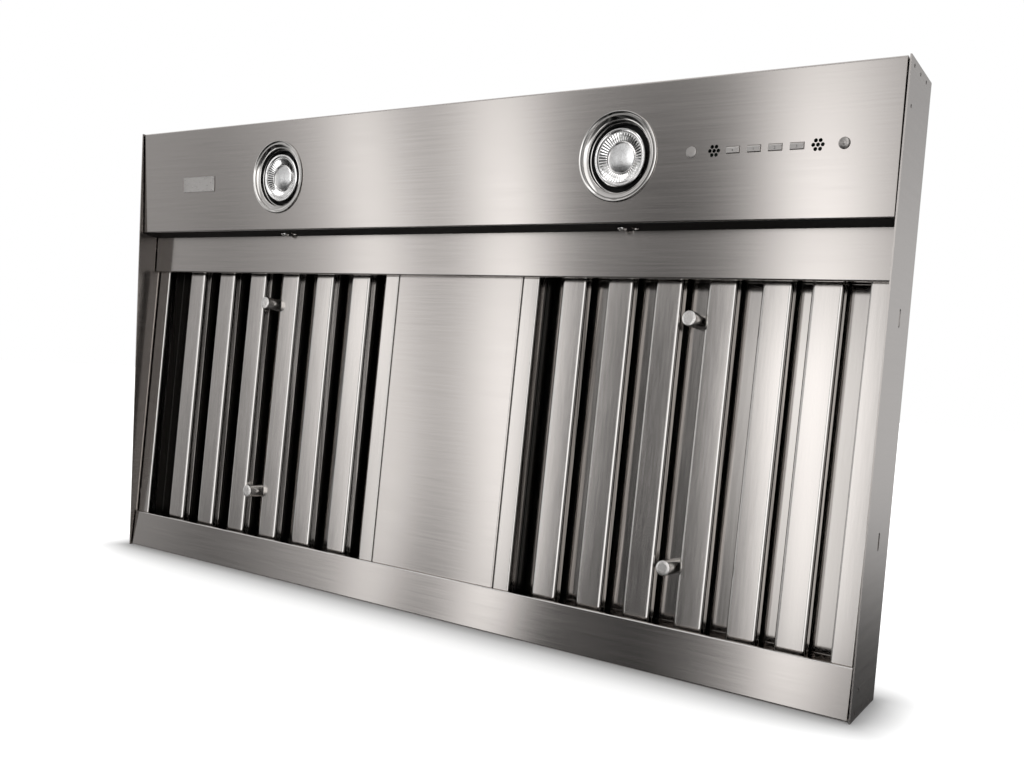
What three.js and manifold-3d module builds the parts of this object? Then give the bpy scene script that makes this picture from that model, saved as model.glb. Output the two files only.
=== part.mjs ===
// Range hood insert: a stainless tray with two baffle filters, lamps and controls,
// and a blower box with a round duct collar on its deck.
// Millimetres. X runs across the insert, Y from the open underside into the tray,
// Z from the insert's rear edge to its front edge. It stands on its rear wall, at Z = 0,
// and the dimensions below count Y from the rim of the underside.

import * as THREE from 'three';
import { mergeVertices } from 'three/addons/utils/BufferGeometryUtils.js';
import Module from 'manifold-3d';

const wasm = await Module();
wasm.setup();

// ---------------------------------------------------------------- driving dimensions

// tray
const INSERT_WIDTH = 873;
const INSERT_LENGTH = 482;
const TRAY_HEIGHT = 68;
const SHEET = 1.2;
const GAP = 0.3;

// side panels
const DECK_FLANGE = 18;
const DECK_FLANGE_CORNER = 14;
const SIDE_HOLE_RADIUS = 1.5;
const SIDE_SLOT_LENGTH = 14;
const SIDE_SLOT_WIDTH = 4;
const SIDE_SLOT_DEPTH = 36;
const SIDE_SLOT_FROM_FRONT = 181;
const SIDE_SLOT_SPACING = 169;
const CORNER_HOLE_DEPTHS = [11, 31, 50];
const CORNER_HOLE_FROM_EDGE = 5;
const PANEL_HOLE_DEPTH = 10.8;
const PANEL_HOLE_FROM_FRONT = 33;
const RAIL_HOLE_DEPTH = 15.4;
const RAIL_HOLES_FROM_REAR = [22, 63];

// control panel (one sheet with the front wall) and the step under it
const PANEL_LENGTH = 112.5;
const PANEL_DROP = 3;
const STEP_DEPTH = 17.5;
const WALL_CLEARANCE = 1.9;
const END_FLANGE = 12;
const END_FLANGE_DEPTH = 46;

// filter header and the divider behind it
const HEADER_LENGTH = 43.2;
const HEADER_RISE = 1.3;
const HEADER_TOP_FLANGE = 11;
const HEADER_SCREW_FROM_STEP = 6.5;
const HEADER_SCREW_FROM_SIDE = 230.5;
const DIVIDER_FROM_HEADER_EDGE = 27;
const DIVIDER_FLANGE = 12;

// rear rail (one sheet with the rear wall)
const RAIL_HEIGHT = 40.5;
const RAIL_DROP = 3.8;

// filters, on the slope from the rail's lip to the header's lip
const FILTER_FACE_AT_RAIL = 8.4;
const FILTER_FACE_AT_HEADER = 26.8;
const FILTER_LOWER_END = 31;
const FILTER_OVERLAP = 11.5;
const FILTER_THICKNESS = 25.4;
const FILTER_SHEET = 0.8;
const FRAME_FACE = 17.5;
const FRAME_FLANGE = 10;
const FRAME_REAR_LIP = 12;
const FRAME_END = 9;
const BAFFLE_RECESS = 7;
const BAFFLE_FACE = 26;
const BAFFLE_FLANGE = 9.6;
const BAFFLE_BEND = 3;
const BAFFLE_BEND_STEPS = 3;
const BAFFLE_CURL = 2.2;
const BAFFLE_OVERLAP = 7;
const REAR_BAFFLE_FLANGE = 12.5;
const TIE_STRIP_WIDTH = 7;
// Each filter's edges, from the side panel beside it, and its front baffles' left edges,
// from its frame's opening. The right-hand filter is narrower, with uneven slots.
const LEFT_FILTER_EDGES = [3.2, 382.5];
const LEFT_BAFFLE_STARTS = [28.4, 80.7, 133, 185.3, 237.6, 289.9];
const RIGHT_FILTER_EDGES = [338.5, 3.9];
const RIGHT_BAFFLE_STARTS = [20, 67.5, 115, 164, 211, 251.9];
const CENTRE_PANEL_CLEARANCE = 0.8;
const CENTRE_PANEL_FLANGE = 14;

// filter knobs
const KNOB_RADIUS = 6.5;
const KNOB_PROUD = 4.4;
const KNOB_CHAMFER = 0.4;
const KNOB_OFFSET = 2.5;
const KNOB_FROM_LOWER_END = 57;
const KNOB_FROM_UPPER_END = 43.7;

// filter ledge
const LEDGE_DEPTH = 29;
const LEDGE_FOOT = 12;

// lamps
const LEFT_LAMP_FROM_SIDE = 228.7;
const RIGHT_LAMP_FROM_SIDE = 234.4;
const LAMP_FROM_FRONT = 57.9;
const TRIM_RADIUS = 37.2;
const TRIM_LIP = 1.1;
const TRIM_LIP_WIDTH = 1.5;
const TRIM_NECK_RADIUS = 33.6;
const TRIM_NECK_LENGTH = 13;
const TRIM_STEP_RADIUS = 29.4;
const TRIM_STEP_DEPTH = 4.2;
const TRIM_BORE_RADIUS = 27.4;
const TRIM_SEGMENTS = 24;
const LAMP_RADIUS = 24.6;
const LAMP_RECESS = 3;
const LAMP_RIM = 2;
const LAMP_CROWN = 0.8;
const LAMP_CROWN_RADIUS = 8;
const LAMP_CONE_LENGTH = 33;
const LAMP_CAP_RADIUS = 9;
const LAMP_CAP_LENGTH = 6;
const LAMP_PIN_RADIUS = 1.2;
const LAMP_PIN_SPACING = 8;
const LAMP_PIN_LENGTH = 6;
const HOLDER_RADIUS = 10;
const HOLDER_LENGTH = 11;
const DRIVER_WIDTH = 118;
const DRIVER_DEPTH = 22;
const DRIVER_HEIGHT = 42;
const DRIVER_FROM_FRONT = 57;

// controls
const CONTROLS_FROM_SIDE = 105.1;
const CONTROLS_FROM_FRONT = 58.1;
const BUTTON_PITCH = 17.2;
const BUTTON_WIDTH = 10.8;
const BUTTON_HEIGHT = 5;
const BUTTON_PROUD = 1.4;
const BUTTON_TRAVEL = 1.2;
const BUTTON_COLLAR = 1.3;
const BUTTON_COLLAR_THICKNESS = 1.5;
const BUTTON_STEM_RADIUS = 1.8;
const BUTTON_STEM_LENGTH = 2;
const VENT_OFFSET = 41.8;
const VENT_PITCH = 3.6;
const VENT_RADIUS = 1.5;
const CONTROL_SCREW_OFFSET = 61.7;
const CONTROL_SCREW_RADIUS = 1.5;
const CONTROL_SCREW_HEAD_RADIUS = 4.4;
const CONTROL_SCREW_HEAD_HEIGHT = 2.2;
const CONTROL_SCREW_LENGTH = 14;
const BOARD_WIDTH = 112;
const BOARD_HEIGHT = 28;
const BOARD_THICKNESS = 1.6;
const SWITCH_SIZE = 6;
const SWITCH_HEIGHT = 3.5;
const HOUSING_END_MARGIN = 7;
const HOUSING_HEIGHT = 36;
const HOUSING_DEPTH = 24;
const HOUSING_WALL = 2;
const BOSS_WALL = 2.2;
const RIB_FROM_BOARD_EDGE = 3;

// blower housing
const BLOWER_WIDTH = 330;
const BLOWER_LENGTH = 330;
const OVERALL_HEIGHT = 302;
const BLOWER_FLANGE = 16;
const BLOWER_OPENING_MARGIN = 22;
const SCREW_RADIUS = 2;
const SCREW_HEAD_RADIUS = 4;
const SCREW_HEAD_HEIGHT = 2.2;
const SCREW_LENGTH = 9;
const SIDE_SCREWS_FROM_REAR = [60, 180, 300];
const FRONT_SCREW_OFFSET = 90;

// scroll, impeller and motor, on one axis along X
const WHEEL_AXIS_HEIGHT = 168;
const WHEEL_AXIS_FROM_REAR = 128;
const WHEEL_RADIUS = 64;
const WHEEL_HALF_WIDTH = 56;
const WHEEL_RING = 2;
const BLADE_DEPTH = 9;
const BLADE_THICKNESS = 1;
const BLADE_COUNT = 20;
const BLADE_LEAN = 28;
const BLADE_STEPS = 2;
const HUB_RADIUS = 12;
const HUB_LENGTH = 30;
const SHAFT_RADIUS = 5;
const SCROLL_START_RADIUS = 70;
const SCROLL_END_RADIUS = 106;
const SCROLL_SIDE_CLEARANCE = 5;
const SCROLL_OUTLET = 92;
const MOUTH_PLATE_REACH = 107;
const SCROLL_STEPS = 20;
const INLET_RADIUS = 56;
const MOTOR_RADIUS = 44;
const MOTOR_LENGTH = 84;
const MOTOR_CHAMFER = 4;
const MOTOR_BOSS_RADIUS = 14;
const MOTOR_BOSS_LENGTH = 6;
const SHAFT_IN_MOTOR = 30;
const BRACKET_FROM_MOTOR_FACE = 34;
const BRACKET_BAND = 14;
const BRACKET_SHEET = 2.5;
const BRACKET_ARM_WIDTH = 16;
const BRACKET_REACH = 76;
const BRACKET_ARM_ANGLES = [-90, 30, 150];
const CAPACITOR_RADIUS = 16;
const CAPACITOR_LENGTH = 62;
const CAPACITOR_X = 121;
const CAPACITOR_Y = 100;

// duct collar and its damper
const COLLAR_LENGTH = 32;
const COLLAR_RADIUS = 101.5;
const COLLAR_FLANGE = 11;
const COLLAR_OPENING_RADIUS = 98;
const COLLAR_FROM_REAR = 188;
const DAMPER_HEIGHT = 11;
const DAMPER_CLEARANCE = 2.5;
const DAMPER_SHEET = 0.8;
const DAMPER_SEAT = 4.5;
const ROD_RADIUS = 2.5;
const ROD_END = 1.5;
const KNUCKLE_CLEARANCE = 0.4;
const KNUCKLE_WALL = 0.8;
const KNUCKLE_LENGTH = 22;
const KNUCKLE_PLACES = [-60, 20];

// junction box on the deck
const JUNCTION_X = 236;
const JUNCTION_FROM_FRONT = 108;
const JUNCTION_WIDTH = 104;
const JUNCTION_LENGTH = 52;
const JUNCTION_HEIGHT = 40;
const JUNCTION_LIP = 8;
const KNOCKOUT_RADIUS = 11;
const KNOCKOUT_SCORE = 0.5;

// ---------------------------------------------------------------- derived places

const HALF_WIDTH = INSERT_WIDTH / 2;
const INNER_HALF_WIDTH = HALF_WIDTH - SHEET - GAP;
const SEAT = SHEET + GAP;
const WALL_END = HALF_WIDTH - SHEET - WALL_CLEARANCE;
const DECK_TOP = TRAY_HEIGHT - SEAT;
const DECK_UNDERSIDE = DECK_TOP - SHEET;
const DECK_EDGE_FLANGE = 11;

const PANEL_LOWER_Z = INSERT_LENGTH - PANEL_LENGTH;
const PANEL_LOWER_Y = SEAT + PANEL_DROP;
const PANEL_TILT = Math.atan2(PANEL_DROP, PANEL_LENGTH);
const STEP_Y = PANEL_LOWER_Y + STEP_DEPTH;

const HEADER_TOP_Z = PANEL_LOWER_Z + SEAT;
const HEADER_LOWER_Z = PANEL_LOWER_Z - HEADER_LENGTH;
const HEADER_LOWER_Y = STEP_Y - HEADER_RISE;
const HEADER_SCREW_Y = STEP_Y - HEADER_SCREW_FROM_STEP;
const HEADER_SCREW_X = HALF_WIDTH - HEADER_SCREW_FROM_SIDE;
const DIVIDER_Z = HEADER_LOWER_Z + DIVIDER_FROM_HEADER_EDGE;

const FILTER_SLOPE = (FILTER_FACE_AT_HEADER - FILTER_FACE_AT_RAIL) / (HEADER_LOWER_Z - RAIL_HEIGHT);
const FILTER_TILT = Math.atan(FILTER_SLOPE);
const FILTER_UPPER_END = HEADER_LOWER_Z + FILTER_OVERLAP;
const FILTER_LENGTH = (FILTER_UPPER_END - FILTER_LOWER_END) / Math.cos(FILTER_TILT);
const FILTER_LOWER_Y = FILTER_FACE_AT_RAIL + (FILTER_LOWER_END - RAIL_HEIGHT) * FILTER_SLOPE;
const BAFFLE_END = FILTER_SHEET + GAP;
const BAFFLE_REAR = FILTER_THICKNESS - FILTER_SHEET - GAP;
const LEFT_FILTER = LEFT_FILTER_EDGES.map((fromSide) => fromSide - HALF_WIDTH);
const RIGHT_FILTER = RIGHT_FILTER_EDGES.map((fromSide) => HALF_WIDTH - fromSide);
const LEDGE_Z = FILTER_LOWER_END - FILTER_THICKNESS * Math.sin(FILTER_TILT) - GAP;

const LAMP_PLACES = { left: LEFT_LAMP_FROM_SIDE - HALF_WIDTH, right: HALF_WIDTH - RIGHT_LAMP_FROM_SIDE };
const CONTROLS_X = HALF_WIDTH - CONTROLS_FROM_SIDE;
const BUTTON_COLLAR_FRONT = SEAT;
const BUTTON_BACK = BUTTON_COLLAR_FRONT + BUTTON_COLLAR_THICKNESS + BUTTON_STEM_LENGTH;
const BOARD_FRONT = BUTTON_BACK + BUTTON_TRAVEL + GAP + SWITCH_HEIGHT;
const BUTTON_OFFSETS = [-1.5, -0.5, 0.5, 1.5].map((step) => step * BUTTON_PITCH);

const BLOWER_BASE = DECK_TOP + GAP;
const COLLAR_BASE = OVERALL_HEIGHT - COLLAR_LENGTH;
const BLOWER_TOP = COLLAR_BASE - GAP;
const MOUTH_PLATE_Y = BLOWER_TOP - SEAT - SHEET;
const SCROLL_HALF_WIDTH = WHEEL_HALF_WIDTH + SCROLL_SIDE_CLEARANCE;
const MOTOR_FACE_X = -WHEEL_HALF_WIDTH - MOTOR_BOSS_LENGTH;
const DAMPER_Y = COLLAR_BASE + DAMPER_HEIGHT;
const KNUCKLE_BORE = ROD_RADIUS + KNUCKLE_CLEARANCE;
const JUNCTION_Z = INSERT_LENGTH - JUNCTION_FROM_FRONT;

// ---------------------------------------------------------------- materials

function finish(color, roughness, metalness) {
  return new THREE.MeshStandardMaterial({ color, roughness, metalness });
}

const brushedSteel = finish(0x9a9691, 0.34, 1);
const brightSteel = finish(0xb9b6b1, 0.22, 1);
const galvanisedSteel = finish(0x8d9195, 0.45, 1);
const chrome = finish(0xd8d8d6, 0.08, 1);
const aluminium = finish(0xa4a5a6, 0.4, 1);
const lampGlass = finish(0xe9e9e6, 0.1, 0);
const ceramic = finish(0xdfdad0, 0.7, 0);
const darkPlastic = finish(0x1c1c1e, 0.55, 0);
const boardGreen = finish(0x1f5a3a, 0.6, 0);
const motorPaint = finish(0x2b2d30, 0.5, 0.3);

// ---------------------------------------------------------------- shapes and solids

function toSolid(geometry) {
  const plain = geometry.clone();
  plain.deleteAttribute('normal');
  plain.deleteAttribute('uv');
  const merged = mergeVertices(plain, 1e-4);
  return new wasm.Manifold(new wasm.Mesh({
    numProp: 3,
    vertProperties: Float32Array.from(merged.attributes.position.array),
    triVerts: Uint32Array.from(merged.index.array),
  }));
}

function toGeometry(solid) {
  const mesh = solid.getMesh();
  const geometry = new THREE.BufferGeometry();
  geometry.setAttribute('position', new THREE.BufferAttribute(mesh.vertProperties, 3));
  geometry.setIndex(new THREE.BufferAttribute(mesh.triVerts, 1));
  return geometry;
}

function join(...geometries) {
  return toGeometry(geometries.map(toSolid).reduce((sum, next) => sum.add(next)));
}

function cut(geometry, ...tools) {
  return toGeometry(tools.map(toSolid).reduce((rest, tool) => rest.subtract(tool), toSolid(geometry)));
}

function box(x0, y0, z0, x1, y1, z1) {
  const geometry = new THREE.BoxGeometry(x1 - x0, y1 - y0, z1 - z0);
  return geometry.translate((x0 + x1) / 2, (y0 + y1) / 2, (z0 + z1) / 2);
}

// Axes for pushing an outline: (y, z) along X, (z, x) along Y, or (x, y) along Z.
const PUSH_FRAMES = {
  x: new THREE.Matrix4().makeBasis(
    new THREE.Vector3(0, 1, 0), new THREE.Vector3(0, 0, 1), new THREE.Vector3(1, 0, 0)),
  y: new THREE.Matrix4().makeBasis(
    new THREE.Vector3(0, 0, 1), new THREE.Vector3(1, 0, 0), new THREE.Vector3(0, 1, 0)),
  z: new THREE.Matrix4(),
};

function push(shape, axis, from, to, curveSegments = 12) {
  const options = { depth: to - from, bevelEnabled: false, curveSegments };
  const geometry = new THREE.ExtrudeGeometry(shape, options);
  return geometry.translate(0, 0, from).applyMatrix4(PUSH_FRAMES[axis]);
}

// Turns [radius, height] pairs, listed counter-clockwise, about X, Y or Z.
function lathe(profile, axis, segments) {
  const points = profile.map(([radius, height]) => new THREE.Vector2(radius, height));
  const geometry = new THREE.LatheGeometry(points, segments);
  if (axis === 'x') geometry.rotateZ(-Math.PI / 2);
  if (axis === 'z') geometry.rotateX(Math.PI / 2);
  return geometry;
}

function latheRing(profile, axis, segments) {
  return lathe([...profile, profile[0]], axis, segments);
}

function rod(radius, axis, from, to, segments = 24) {
  return lathe([[0, from], [radius, from], [radius, to], [0, to]], axis, segments);
}

function tube(inner, outer, axis, from, to, segments = 32) {
  return latheRing([[inner, from], [outer, from], [outer, to], [inner, to]], axis, segments);
}

// The section of a bent sheet: the path is one face, and the wall lies to the path's left.
function bentSheet(path, thickness) {
  const points = path.map(([a, b]) => new THREE.Vector2(a, b));
  const normals = points.slice(1).map((point, i) => {
    const along = point.clone().sub(points[i]).normalize();
    return new THREE.Vector2(-along.y, along.x);
  });
  const inner = points.map((point, i) => {
    const before = normals[Math.max(i - 1, 0)];
    const after = normals[Math.min(i, normals.length - 1)];
    const mitre = before.clone().add(after);
    return point.clone().addScaledVector(mitre, 2 * thickness / mitre.lengthSq());
  });
  return new THREE.Shape([...points, ...inner.reverse()]);
}

// The path's corners, each replaced by a bend of so many steps.
function rounded(path, radius, steps) {
  return path.flatMap((corner, i) => {
    if (i === 0 || i === path.length - 1) return [corner];
    const point = new THREE.Vector2(...corner);
    const back = new THREE.Vector2(...path[i - 1]).sub(point).setLength(radius);
    const on = new THREE.Vector2(...path[i + 1]).sub(point).setLength(radius);
    const centre = point.clone().add(back).add(on);
    return Array.from({ length: steps + 1 }, (_, step) => {
      const angle = step / steps * Math.PI / 2;
      const place = centre.clone().addScaledVector(on, -Math.cos(angle)).addScaledVector(back, -Math.sin(angle));
      return [place.x, place.y];
    });
  });
}

function mirroredInX(geometry) {
  const copy = geometry.clone().scale(-1, 1, 1);
  const index = copy.index.array;
  for (let i = 0; i < index.length; i += 3) {
    [index[i], index[i + 1]] = [index[i + 1], index[i]];
  }
  return copy;
}

// The control panel's face, at a distance from the front edge: x stays, y goes in, z climbs it.
function panelPlace(x, fromFront) {
  const place = new THREE.Group();
  place.position.set(
    x,
    SEAT + fromFront * Math.sin(PANEL_TILT),
    INSERT_LENGTH - fromFront * Math.cos(PANEL_TILT));
  place.rotation.x = PANEL_TILT;
  place.updateMatrix();
  return place;
}

const insert = new THREE.Group();

function add(parent, name, geometry, material) {
  const mesh = new THREE.Mesh(geometry, material);
  mesh.name = name;
  parent.add(mesh);
}

// ---------------------------------------------------------------- tray

function sideHole(depth, z) {
  return rod(SIDE_HOLE_RADIUS, 'x', -SHEET, 2 * SHEET, 8).translate(-HALF_WIDTH, depth, z);
}

function sideSlot(z) {
  const straight = (SIDE_SLOT_LENGTH - SIDE_SLOT_WIDTH) / 2;
  const slot = new THREE.Shape();
  slot.absarc(SIDE_SLOT_DEPTH, z + straight, SIDE_SLOT_WIDTH / 2, 0, Math.PI, false);
  slot.absarc(SIDE_SLOT_DEPTH, z - straight, SIDE_SLOT_WIDTH / 2, Math.PI, 2 * Math.PI, false);
  return push(slot, 'x', -HALF_WIDTH - 1, -HALF_WIDTH + SHEET + 1, 5);
}

// Frees the deck flange's end at one edge of the side panel: a notch with a sloped corner.
function flangeCorner(edge, inward) {
  const corner = new THREE.Shape([
    new THREE.Vector2(edge - inward, -HALF_WIDTH + SHEET),
    new THREE.Vector2(edge + inward * SEAT, -HALF_WIDTH + SHEET),
    new THREE.Vector2(edge + inward * DECK_FLANGE_CORNER, -HALF_WIDTH + DECK_FLANGE + 1),
    new THREE.Vector2(edge - inward, -HALF_WIDTH + DECK_FLANGE + 1),
  ]);
  return push(corner, 'y', DECK_TOP, TRAY_HEIGHT + 1);
}

function sidePanel() {
  const section = bentSheet([
    [-HALF_WIDTH + DECK_FLANGE, TRAY_HEIGHT],
    [-HALF_WIDTH, TRAY_HEIGHT],
    [-HALF_WIDTH, 0],
  ], SHEET);
  const firstSlot = INSERT_LENGTH - SIDE_SLOT_FROM_FRONT;
  return cut(
    push(section, 'z', 0, INSERT_LENGTH),
    flangeCorner(0, 1),
    flangeCorner(INSERT_LENGTH, -1),
    sideSlot(firstSlot),
    sideSlot(firstSlot - SIDE_SLOT_SPACING),
    ...CORNER_HOLE_DEPTHS.map((depth) => sideHole(depth, CORNER_HOLE_FROM_EDGE)),
    ...CORNER_HOLE_DEPTHS.map((depth) => sideHole(depth, INSERT_LENGTH - CORNER_HOLE_FROM_EDGE)),
    ...RAIL_HOLES_FROM_REAR.map((z) => sideHole(RAIL_HOLE_DEPTH, z)),
    sideHole(PANEL_HOLE_DEPTH, INSERT_LENGTH - PANEL_HOLE_FROM_FRONT),
  );
}

// The tabs that join a wall's two ends to the side panels, bent from the wall's outer face.
function endFlanges(wallZ, inward) {
  const from = CORNER_HOLE_DEPTHS[0] - SIDE_HOLE_RADIUS - SHEET;
  const path = [
    [wallZ + inward * END_FLANGE, INNER_HALF_WIDTH],
    [wallZ, INNER_HALF_WIDTH],
    [wallZ, WALL_END - SHEET],
  ];
  const tab = bentSheet(inward > 0 ? path : path.reverse(), SHEET);
  const holes = CORNER_HOLE_DEPTHS.map((depth) => (
    rod(SIDE_HOLE_RADIUS, 'x', INNER_HALF_WIDTH - 2 * SHEET, INNER_HALF_WIDTH + SHEET, 8)
      .translate(0, depth, wallZ + inward * CORNER_HOLE_FROM_EDGE)));
  const flange = cut(push(tab, 'y', from, from + END_FLANGE_DEPTH), ...holes);
  return [flange, mirroredInX(flange)];
}

function screwHole(x, y, z, axis) {
  return rod(SCREW_RADIUS + GAP, axis, -2 * SCREW_RADIUS, 2 * SCREW_RADIUS, 10).translate(x, y, z);
}

function ventHoles(offset) {
  const centres = [[0, 0]];
  for (let i = 0; i < 6; i += 1) {
    const angle = i * Math.PI / 3;
    centres.push([VENT_PITCH * Math.cos(angle), VENT_PITCH * Math.sin(angle)]);
  }
  return centres.map(([x, z]) => rod(VENT_RADIUS, 'y', -2 * SHEET, 2 * SHEET, 6).translate(offset + x, 0, z));
}

function controlHoles() {
  const halfWidth = BUTTON_WIDTH / 2 + GAP;
  const halfHeight = BUTTON_HEIGHT / 2 + GAP;
  const windows = BUTTON_OFFSETS.map((x) => (
    box(x - halfWidth, -2 * SHEET, -halfHeight, x + halfWidth, 2 * SHEET, halfHeight)));
  const screws = [-1, 1].map((side) => (
    rod(CONTROL_SCREW_RADIUS + GAP, 'y', -2 * SHEET, 2 * SHEET, 10).translate(side * CONTROL_SCREW_OFFSET, 0, 0)));
  return [...windows, ...screws, ...ventHoles(-VENT_OFFSET), ...ventHoles(VENT_OFFSET)];
}

function controlPanel() {
  const section = bentSheet([
    [TRAY_HEIGHT, INSERT_LENGTH],
    [SEAT, INSERT_LENGTH],
    [PANEL_LOWER_Y, PANEL_LOWER_Z],
    [STEP_Y - GAP, PANEL_LOWER_Z],
  ], SHEET);
  const sheet = join(push(section, 'x', -WALL_END, WALL_END), ...endFlanges(INSERT_LENGTH, -1));
  const controls = panelPlace(CONTROLS_X, CONTROLS_FROM_FRONT);
  const lampHoles = Object.values(LAMP_PLACES).map((x) => (
    rod(TRIM_NECK_RADIUS + GAP, 'y', -3 * SHEET, 3 * SHEET, TRIM_SEGMENTS)
      .applyMatrix4(panelPlace(x, LAMP_FROM_FRONT).matrix)));
  return cut(
    sheet,
    ...lampHoles,
    ...controlHoles().map((hole) => hole.applyMatrix4(controls.matrix)),
    screwHole(-HEADER_SCREW_X, HEADER_SCREW_Y, PANEL_LOWER_Z, 'z'),
    screwHole(HEADER_SCREW_X, HEADER_SCREW_Y, PANEL_LOWER_Z, 'z'),
  );
}

function filterHeader() {
  const section = bentSheet([
    [STEP_Y - HEADER_TOP_FLANGE, HEADER_TOP_Z],
    [STEP_Y, HEADER_TOP_Z],
    [HEADER_LOWER_Y, HEADER_LOWER_Z],
    [FILTER_FACE_AT_HEADER - GAP, HEADER_LOWER_Z],
  ], SHEET);
  return cut(
    push(section, 'x', -WALL_END, WALL_END),
    screwHole(-HEADER_SCREW_X, HEADER_SCREW_Y, HEADER_TOP_Z, 'z'),
    screwHole(HEADER_SCREW_X, HEADER_SCREW_Y, HEADER_TOP_Z, 'z'),
  );
}

function compartmentDivider() {
  const climb = (DIVIDER_Z + SHEET - HEADER_LOWER_Z) / (HEADER_TOP_Z - HEADER_LOWER_Z);
  const front = HEADER_LOWER_Y + climb * HEADER_RISE + SEAT;
  const section = bentSheet([
    [front, DIVIDER_Z],
    [DECK_UNDERSIDE - GAP, DIVIDER_Z],
    [DECK_UNDERSIDE - GAP, DIVIDER_Z + DIVIDER_FLANGE],
  ], SHEET);
  return push(section, 'x', -INNER_HALF_WIDTH, INNER_HALF_WIDTH);
}

function rearRail() {
  const section = bentSheet([
    [FILTER_FACE_AT_RAIL - 2 * GAP, RAIL_HEIGHT],
    [SEAT + RAIL_DROP, RAIL_HEIGHT],
    [SEAT, 0],
    [DECK_TOP, 0],
  ], SHEET);
  return join(push(section, 'x', -WALL_END, WALL_END), ...endFlanges(0, 1));
}

function filterLedge() {
  const underside = LEDGE_Z - SHEET;
  const front = SEAT + RAIL_DROP * LEDGE_Z / RAIL_HEIGHT + SEAT;
  const section = bentSheet([
    [front, underside],
    [front + LEDGE_DEPTH, underside],
    [front + LEDGE_DEPTH, SEAT],
    [front + LEDGE_DEPTH + LEDGE_FOOT, SEAT],
  ], SHEET);
  const reach = INNER_HALF_WIDTH - SEAT;
  return push(section, 'x', -reach, reach);
}

function topDeck() {
  const section = bentSheet([
    [DECK_TOP - DECK_EDGE_FLANGE, SEAT],
    [DECK_TOP, SEAT],
    [DECK_TOP, INSERT_LENGTH - SEAT],
    [DECK_TOP - DECK_EDGE_FLANGE, INSERT_LENGTH - SEAT],
  ], SHEET);
  const opening = BLOWER_WIDTH / 2 - BLOWER_OPENING_MARGIN;
  return cut(
    push(section, 'x', -INNER_HALF_WIDTH, INNER_HALF_WIDTH),
    box(-opening, DECK_UNDERSIDE - 1, BLOWER_OPENING_MARGIN,
      opening, DECK_TOP + 1, BLOWER_LENGTH - BLOWER_OPENING_MARGIN),
    ...blowerScrewPlaces().map(([x, z]) => screwHole(x, DECK_TOP, z, 'y')),
  );
}

function headerScrew() {
  return lathe([
    [0, -GAP - SCREW_HEAD_HEIGHT],
    [SCREW_HEAD_RADIUS * 0.7, -GAP - SCREW_HEAD_HEIGHT * 0.85],
    [SCREW_HEAD_RADIUS, -GAP],
    [SCREW_RADIUS, -GAP],
    [SCREW_RADIUS, SCREW_LENGTH],
    [0, SCREW_LENGTH],
  ], 'z', 10).translate(0, HEADER_SCREW_Y, PANEL_LOWER_Z);
}

function buildTray() {
  const right = mirroredInX(sidePanel());
  add(insert, 'side_panel_left', sidePanel(), brushedSteel);
  add(insert, 'side_panel_right', right, brushedSteel);
  add(insert, 'control_panel', controlPanel(), brushedSteel);
  add(insert, 'filter_header', filterHeader(), brushedSteel);
  add(insert, 'rear_rail', rearRail(), brushedSteel);
  add(insert, 'filter_ledge', filterLedge(), galvanisedSteel);
  add(insert, 'compartment_divider', compartmentDivider(), galvanisedSteel);
  add(insert, 'top_deck', topDeck(), brushedSteel);
  add(insert, 'header_screw_left', headerScrew().translate(-HEADER_SCREW_X, 0, 0), brightSteel);
  add(insert, 'header_screw_right', headerScrew().translate(HEADER_SCREW_X, 0, 0), brightSteel);
}

// ---------------------------------------------------------------- baffle filters

function filterFrame(width) {
  const half = width / 2;
  const hollow = FILTER_SHEET;
  const shell = cut(
    box(-half, 0, 0, half, FILTER_THICKNESS, FILTER_LENGTH),
    box(-half + hollow, hollow, hollow, half - hollow, FILTER_THICKNESS - hollow, FILTER_LENGTH - hollow),
    box(-half + FRAME_FACE, -1, FRAME_END, half - FRAME_FACE, 2 * hollow, FILTER_LENGTH - FRAME_END),
    box(-half + FRAME_REAR_LIP, FILTER_THICKNESS - 2 * hollow, FRAME_END,
      half - FRAME_REAR_LIP, FILTER_THICKNESS + 1, FILTER_LENGTH - FRAME_END),
  );
  const flange = box(
    half - FRAME_FACE, hollow / 2, hollow / 2,
    half - FRAME_FACE + hollow, FRAME_FLANGE, FILTER_LENGTH - hollow / 2);
  return join(shell, flange, flange.clone().translate(-width + 2 * FRAME_FACE - hollow, 0, 0));
}

function frontBaffle() {
  const tip = BAFFLE_RECESS + BAFFLE_FLANGE;
  const channel = rounded([
    [0, tip],
    [0, BAFFLE_RECESS],
    [BAFFLE_FACE, BAFFLE_RECESS],
    [BAFFLE_FACE, tip],
  ], BAFFLE_BEND, BAFFLE_BEND_STEPS);
  const section = bentSheet([[BAFFLE_CURL, tip], ...channel, [BAFFLE_FACE - BAFFLE_CURL, tip]], FILTER_SHEET);
  return push(section, 'z', BAFFLE_END, FILTER_LENGTH - BAFFLE_END);
}

function rearBaffle(from, to) {
  const section = bentSheet([
    [to, BAFFLE_REAR - REAR_BAFFLE_FLANGE],
    [to, BAFFLE_REAR],
    [from, BAFFLE_REAR],
    [from, BAFFLE_REAR - REAR_BAFFLE_FLANGE],
  ], FILTER_SHEET);
  return push(section, 'z', BAFFLE_END, FILTER_LENGTH - BAFFLE_END);
}

// Strips inside the frame's ends that carry the rear baffles, behind the front ones.
function tieStrips(half) {
  const rear = BAFFLE_REAR - FILTER_SHEET - GAP;
  const strip = box(-half, rear - FILTER_SHEET, 2 * BAFFLE_END, half, rear, 2 * BAFFLE_END + TIE_STRIP_WIDTH);
  const other = FILTER_LENGTH - 4 * BAFFLE_END - TIE_STRIP_WIDTH;
  return [strip, strip.clone().translate(0, 0, other)];
}

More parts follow.
